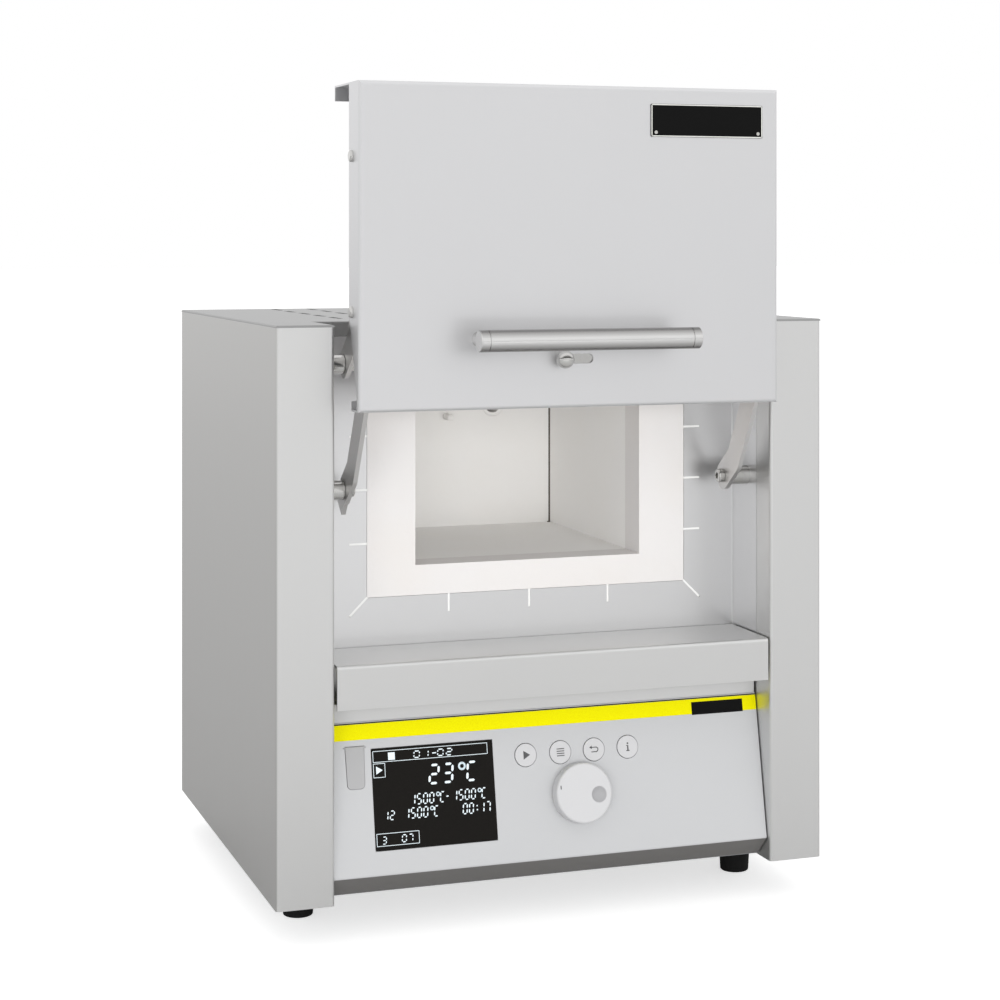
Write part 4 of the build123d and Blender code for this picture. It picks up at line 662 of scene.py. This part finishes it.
# On the display: lines of symbols by text, place as shares of its width and of its height from the
# top, pitch, height and weight; then boxes by left, right, foot and top as shares
WRITING = (
    ("01-02", 0.345, 0.118, 6.0, 4.1, 0.75),
    ("23oC", 0.462, 0.385, 9.6, 11.6, 1.55),
    ("1500oC", 0.30, 0.575, 4.3, 6.4, 0.8),
    ("-", 0.585, 0.565, 4.3, 5.4, 0.8),
    ("1500oC", 0.645, 0.572, 4.3, 6.4, 0.8),
    ("12", 0.075, 0.705, 4.3, 5.4, 0.7),
    ("1500oC", 0.245, 0.708, 4.3, 6.4, 0.8),
    ("00:17", 0.725, 0.712, 4.3, 6.4, 0.8),
    ("3", 0.055, 0.935, 4.0, 4.4, 0.6),
    ("07", 0.215, 0.93, 4.4, 4.4, 0.7),
)
BOXES = (
    (0.012, 0.955, 0.135, 0.028),
    (0.012, 0.105, 0.285, 0.15),
    (0.012, 0.355, 0.955, 0.835),
)
BOX_LINE = 0.35
SQUARE_PLACE = (0.135, 0.122)
SQUARE_SIZE = (4.6, 4.8)
ARROW_PLACE = (0.033, 0.255)
ARROW_SIZE = (4.4, 5.2)


def on_display(share_u, share_v):
    """A place on the display from shares of its width and of its height from the top."""
    u = DISPLAY_CENTRE[0] + (share_u - 0.5) * DISPLAY_SIZE[0]
    v = DISPLAY_CENTRE[1] + (0.5 - share_v) * DISPLAY_SIZE[1]
    return u, v


def display_marks():
    """What the display shows: figures, a square, an arrow and three boxes."""
    lines = []
    for left, right, foot, top in BOXES:
        (left_u, foot_v), (right_u, top_v) = on_display(left, foot), on_display(right, top)
        lines += frame_lines((left_u, right_u), (foot_v, top_v), BOX_LINE)
    u, v = on_display(*SQUARE_PLACE)
    lines.append(rectangle((u, u + SQUARE_SIZE[0]), (v, v + SQUARE_SIZE[1])))
    u, v = on_display(*ARROW_PLACE)
    lines.append([(u, v), (u + ARROW_SIZE[0], v + ARROW_SIZE[1] / 2), (u, v + ARROW_SIZE[1])])
    for symbols, share_u, share_v, pitch, height, weight in WRITING:
        lines += writing(symbols, *on_display(share_u, share_v), pitch, height, weight)
    white = ink("display_white", (0.70, 0.78, 0.82), glow=0.25)
    flat_piece("display_marks", lines, PRINT, face_matrix(lift=GLASS_LIFT), white, "root")


def arrow_back():
    """Outlines of the return arrow."""
    shaft = [(-2.6, 1.5), (1.7, 1.5), (2.5, 0.9), (2.8, 0.0), (2.5, -0.9), (1.7, -1.5), (-1.8, -1.5)]
    head = [(-3.4, 1.5), (-1.6, 2.7), (-1.6, 0.3)]
    return stroke(shaft, 0.6) + [head]


def button_icons():
    """Printed signs on the four buttons, and the dial's mark."""
    dark = ink("icon_grey", (0.085, 0.085, 0.088))
    icons = {
        "play": [[(-1.7, -2.9), (3.0, 0.0), (-1.7, 2.9)]],
        "menu": [rectangle((-2.71, 2.71), (row - 0.31, row + 0.31)) for row in (-2.25, -0.75, 0.75, 2.25)],
        "back": arrow_back(),
        "info": [disc(0, 2.35, 0.62, corners=16), rectangle((-0.5, 0.5), (-2.2, 1.1)),
                 rectangle((-1.1, -0.5), (0.6, 1.1)), rectangle((-1.2, 1.2), (-2.8, -2.2))],
    }
    for name, outlines in icons.items():
        matrix = face_matrix(BUTTONS[name], BUTTON_V, BUTTON_LIFT)
        flat_piece(f"icon_{name}", outlines, PRINT, matrix, dark, f"button_{name}")
    mark = [rounded(*DIAL_MARK, 0.34)]
    flat_piece("dial_mark", mark, PRINT, face_matrix(*DIAL, DIAL_LIFT), dark, "dial")


def stripe_label():
    """Blank black label on the stripe, and a thin black strip of painted shade along the seam above the
    stripe.
    """
    black = enamel("label_black", (0.006, 0.006, 0.006))
    label = [rounded(LABEL_X, LABEL_V, 0.4)]
    flat_piece("stripe_label", label, LABEL_THICK, face_matrix(), black, "root")
    # Painted shade: a black strip where the seam's shadow falls
    seam = [rectangle((-STRIPE_HALF, STRIPE_HALF), SEAM_SHADE_V)]
    flat_piece("stripe_seam_shade", seam, SEAM_SHADE_THICK, face_matrix(), black, "root")


def door_plate():
    """Pale border and two rivets on the blank plate of the door."""
    low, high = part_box("name_plate")
    centre = (low + high) / 2
    half_u = (high.x - low.x) * MM_PER_M / 2
    half_v = (high.z - low.z) * MM_PER_M / 2
    matrix = front_matrix(centre.x, low.y, centre.z)
    pale = ink("plate_border", (0.80, 0.80, 0.76))
    border_u, border_v = half_u - BORDER_INSET, half_v - BORDER_INSET
    border = frame_lines((-border_u, border_u), (-border_v, border_v), BORDER_W)
    flat_piece("plate_border", border, PRINT, matrix, pale, "door")
    rivet_u, rivet_v = half_u - RIVET_INSET[0], half_v - RIVET_INSET[1]
    rivets = [disc(side * rivet_u, -rivet_v, RIVET_R) for side in (-1, 1)]
    steel = turned("rivet_steel", (0.62, 0.61, 0.58), 0.25)
    flat_piece("plate_rivets", rivets, RIVET_H, matrix, steel, "door")


def slit_fibre():
    """White fibre board seen in the expansion slits round the mouth, laid flush and paler than the collar
    as painted light, so the slits show no shade.
    """
    outlines = []
    for side in (-1, 1):
        for step in (-1, 0, 1):
            u, v = step * SLIT_PITCH[0], step * SLIT_PITCH[1]
            near_u, near_v = side * COLLAR_HALF[0], side * COLLAR_HALF[1]
            outlines += stroke([(u, near_v), (u, near_v + side * SLIT_L)], SLIT_W)
            outlines += stroke([(near_u, v), (near_u + side * SLIT_L, v)], SLIT_W)
        for up in (-1, 1):
            corner = (side * COLLAR_HALF[0], up * COLLAR_HALF[1])
            end = (corner[0] + side * SLIT_L, corner[1] + up * SLIT_L)
            outlines += stroke([corner, end], SLIT_W)
    matrix = front_matrix(0, PLATE_BACK_Y, MOUTH_MID_Z)
    # Paler than the collar's fibre: painted light in the slits
    white = fibre("slit_fibre", (0.97, 0.97, 0.96), (0.96, 0.95, 0.93))
    flat_piece("slit_fibre", outlines, SLIT_FILL, matrix, white, "root")


def panel_upstand():
    """Upright flange of the controller's housing, below the sill."""
    grey = plastic("upstand_plastic", (0.60, 0.60, 0.60))
    outline = rectangle((-UPSTAND_HALF, UPSTAND_HALF), UPSTAND_Z)
    matrix = front_matrix(0, UPSTAND_Y, 0)
    flat_piece("panel_upstand", [outline], UPSTAND_THICK, matrix, grey, "root")


def corner_gap_shade():
    """Painted shade in the joint of the chamber's right rear corner, with a dark dot at its foot."""
    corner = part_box("muffle_floor")[1]
    x, y = MOUTH_HALF_W, corner.y * MM_PER_M
    joint = [(x - JOINT_SHADE_W, y), (x, y - JOINT_SHADE_W), (x, y)]
    shade_dot = disc(x - SHADE_DOT_R - 0.1, y - SHADE_DOT_R - 0.1, SHADE_DOT_R, corners=12)
    dark = ink("joint_shadow", (0.10, 0.085, 0.07), roughness=0.9)
    matrix = Matrix.Translation((0, 0, corner.z))
    # Painted shade: a dark strip in the joint and a dark dot at its foot
    flat_piece("corner_gap_shade", [joint], CHAMBER_H, matrix, dark, "root")
    flat_piece("corner_shade_dot", [shade_dot], SHADE_DOT_H, matrix, dark, "root")


def rocker_marks():
    """Line and ring on the mains switch."""
    low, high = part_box("mains_rocker")
    pivot = Matrix.Translation(((low.x + high.x) / 2, *ROCKER_PIVOT))
    to_rear = Matrix.Rotation(ROCKER_TILT - math.pi / 2, 4, "X") @ Matrix.Rotation(math.pi, 4, "Z")
    matrix = pivot @ to_rear @ Matrix.Translation((0, 0, ROCKER_FACE))
    white = ink("switch_white", (0.75, 0.75, 0.75))
    outlines = [rectangle(*ROCKER_LINE)] + ring(*ROCKER_RING)
    flat_piece("rocker_marks", outlines, ROCKER_INK, matrix, white, "mains_rocker")


def softbox(name, place, size, level):
    """Large even light aimed at the middle of the part."""
    light = bpy.data.lights.new(name, "AREA")
    light.shape = "RECTANGLE"
    light.size, light.size_y = size
    light.energy = level * math.pi * size[0] * size[1]
    lamp = bpy.data.objects.new(name, light)
    lamp.location = place
    aim = Vector(SOFTBOX_AIM) - Vector(place)
    lamp.rotation_euler = aim.to_track_quat("-Z", "Y").to_euler()
    lamp.visible_camera = False
    lamp.visible_glossy = False
    bpy.context.scene.collection.objects.link(lamp)


def seen_by(tree, *rays):
    """1 for camera rays and the other rays named, and 0 for the light on the object."""
    path = tree.nodes.new("ShaderNodeLightPath")
    value = path.outputs["Is Camera Ray"]
    for name in rays:
        node = tree.nodes.new("ShaderNodeMath")
        node.operation = "MAXIMUM"
        tree.links.new(value, node.inputs[0])
        tree.links.new(path.outputs[name], node.inputs[1])
        value = node.outputs["Value"]
    return value


def world():
    """White surroundings to look at, and a plain fill light."""
    scene_world = bpy.data.worlds.new("studio")
    bpy.context.scene.world = scene_world
    scene_world.use_nodes = True
    tree = scene_world.node_tree
    background = tree.nodes["Background"]
    background.inputs["Color"].default_value = (1, 1, 1, 1)
    level = tree.nodes.new("ShaderNodeMapRange")
    level.inputs["To Min"].default_value = FILL
    level.inputs["To Max"].default_value = 1.0
    tree.links.new(seen_by(tree, "Is Glossy Ray", "Is Transmission Ray"), level.inputs["Value"])
    tree.links.new(level.outputs["Result"], background.inputs["Strength"])


def floor():
    """Pale floor that keeps a soft contact shadow."""
    mesh = bpy.data.meshes.new("floor")
    edges = (-FLOOR_HALF, FLOOR_HALF)
    mesh.from_pydata([(x, y, 0) for x, y in rectangle(edges, edges)], [], [(0, 1, 2, 3)])
    material = bpy.data.materials.new("floor_paper")
    material.use_nodes = True
    tree = material.node_tree
    shader = tree.nodes["Principled BSDF"]
    shader.inputs["Base Color"].default_value = (*[FLOOR_PAPER] * 3, 1)
    shader.inputs["Roughness"].default_value = 1.0
    shader.inputs["Specular IOR Level"].default_value = 0.0
    shader.inputs["Emission Color"].default_value = (1, 1, 1, 1)
    glow = tree.nodes.new("ShaderNodeMath")
    glow.operation = "MULTIPLY"
    glow.inputs[1].default_value = FLOOR_GLOW
    tree.links.new(seen_by(tree), glow.inputs[0])
    tree.links.new(glow.outputs["Value"], shader.inputs["Emission Strength"])
    mesh.materials.append(material)
    plane = bpy.data.objects.new("floor", mesh)
    bpy.context.scene.collection.objects.link(plane)


def camera():
    """The photograph's viewpoint."""
    lens = bpy.data.cameras.new("camera")
    lens.sensor_width = SENSOR_W
    lens.lens = CAMERA_LENS
    lens.shift_y = CAMERA_SHIFT_Y
    lens.clip_end = FAR
    view = bpy.data.objects.new("camera", lens)
    view.location = CAMERA_PLACE
    view.rotation_euler = (math.pi / 2, 0, -CAMERA_YAW)
    bpy.context.scene.collection.objects.link(view)
    bpy.context.scene.camera = view


bpy.context.scene.view_settings.view_transform = "Standard"
paint_casing()
paint_door()
paint_hot_part()
paint_controller()
display_marks()
button_icons()
stripe_label()
door_plate()
rocker_marks()
slit_fibre()
corner_gap_shade()
panel_upstand()
softbox("softbox_front", SOFTBOX_PLACE, SOFTBOX_SIZE, SOFTBOX_LEVEL)
world()
floor()
camera()
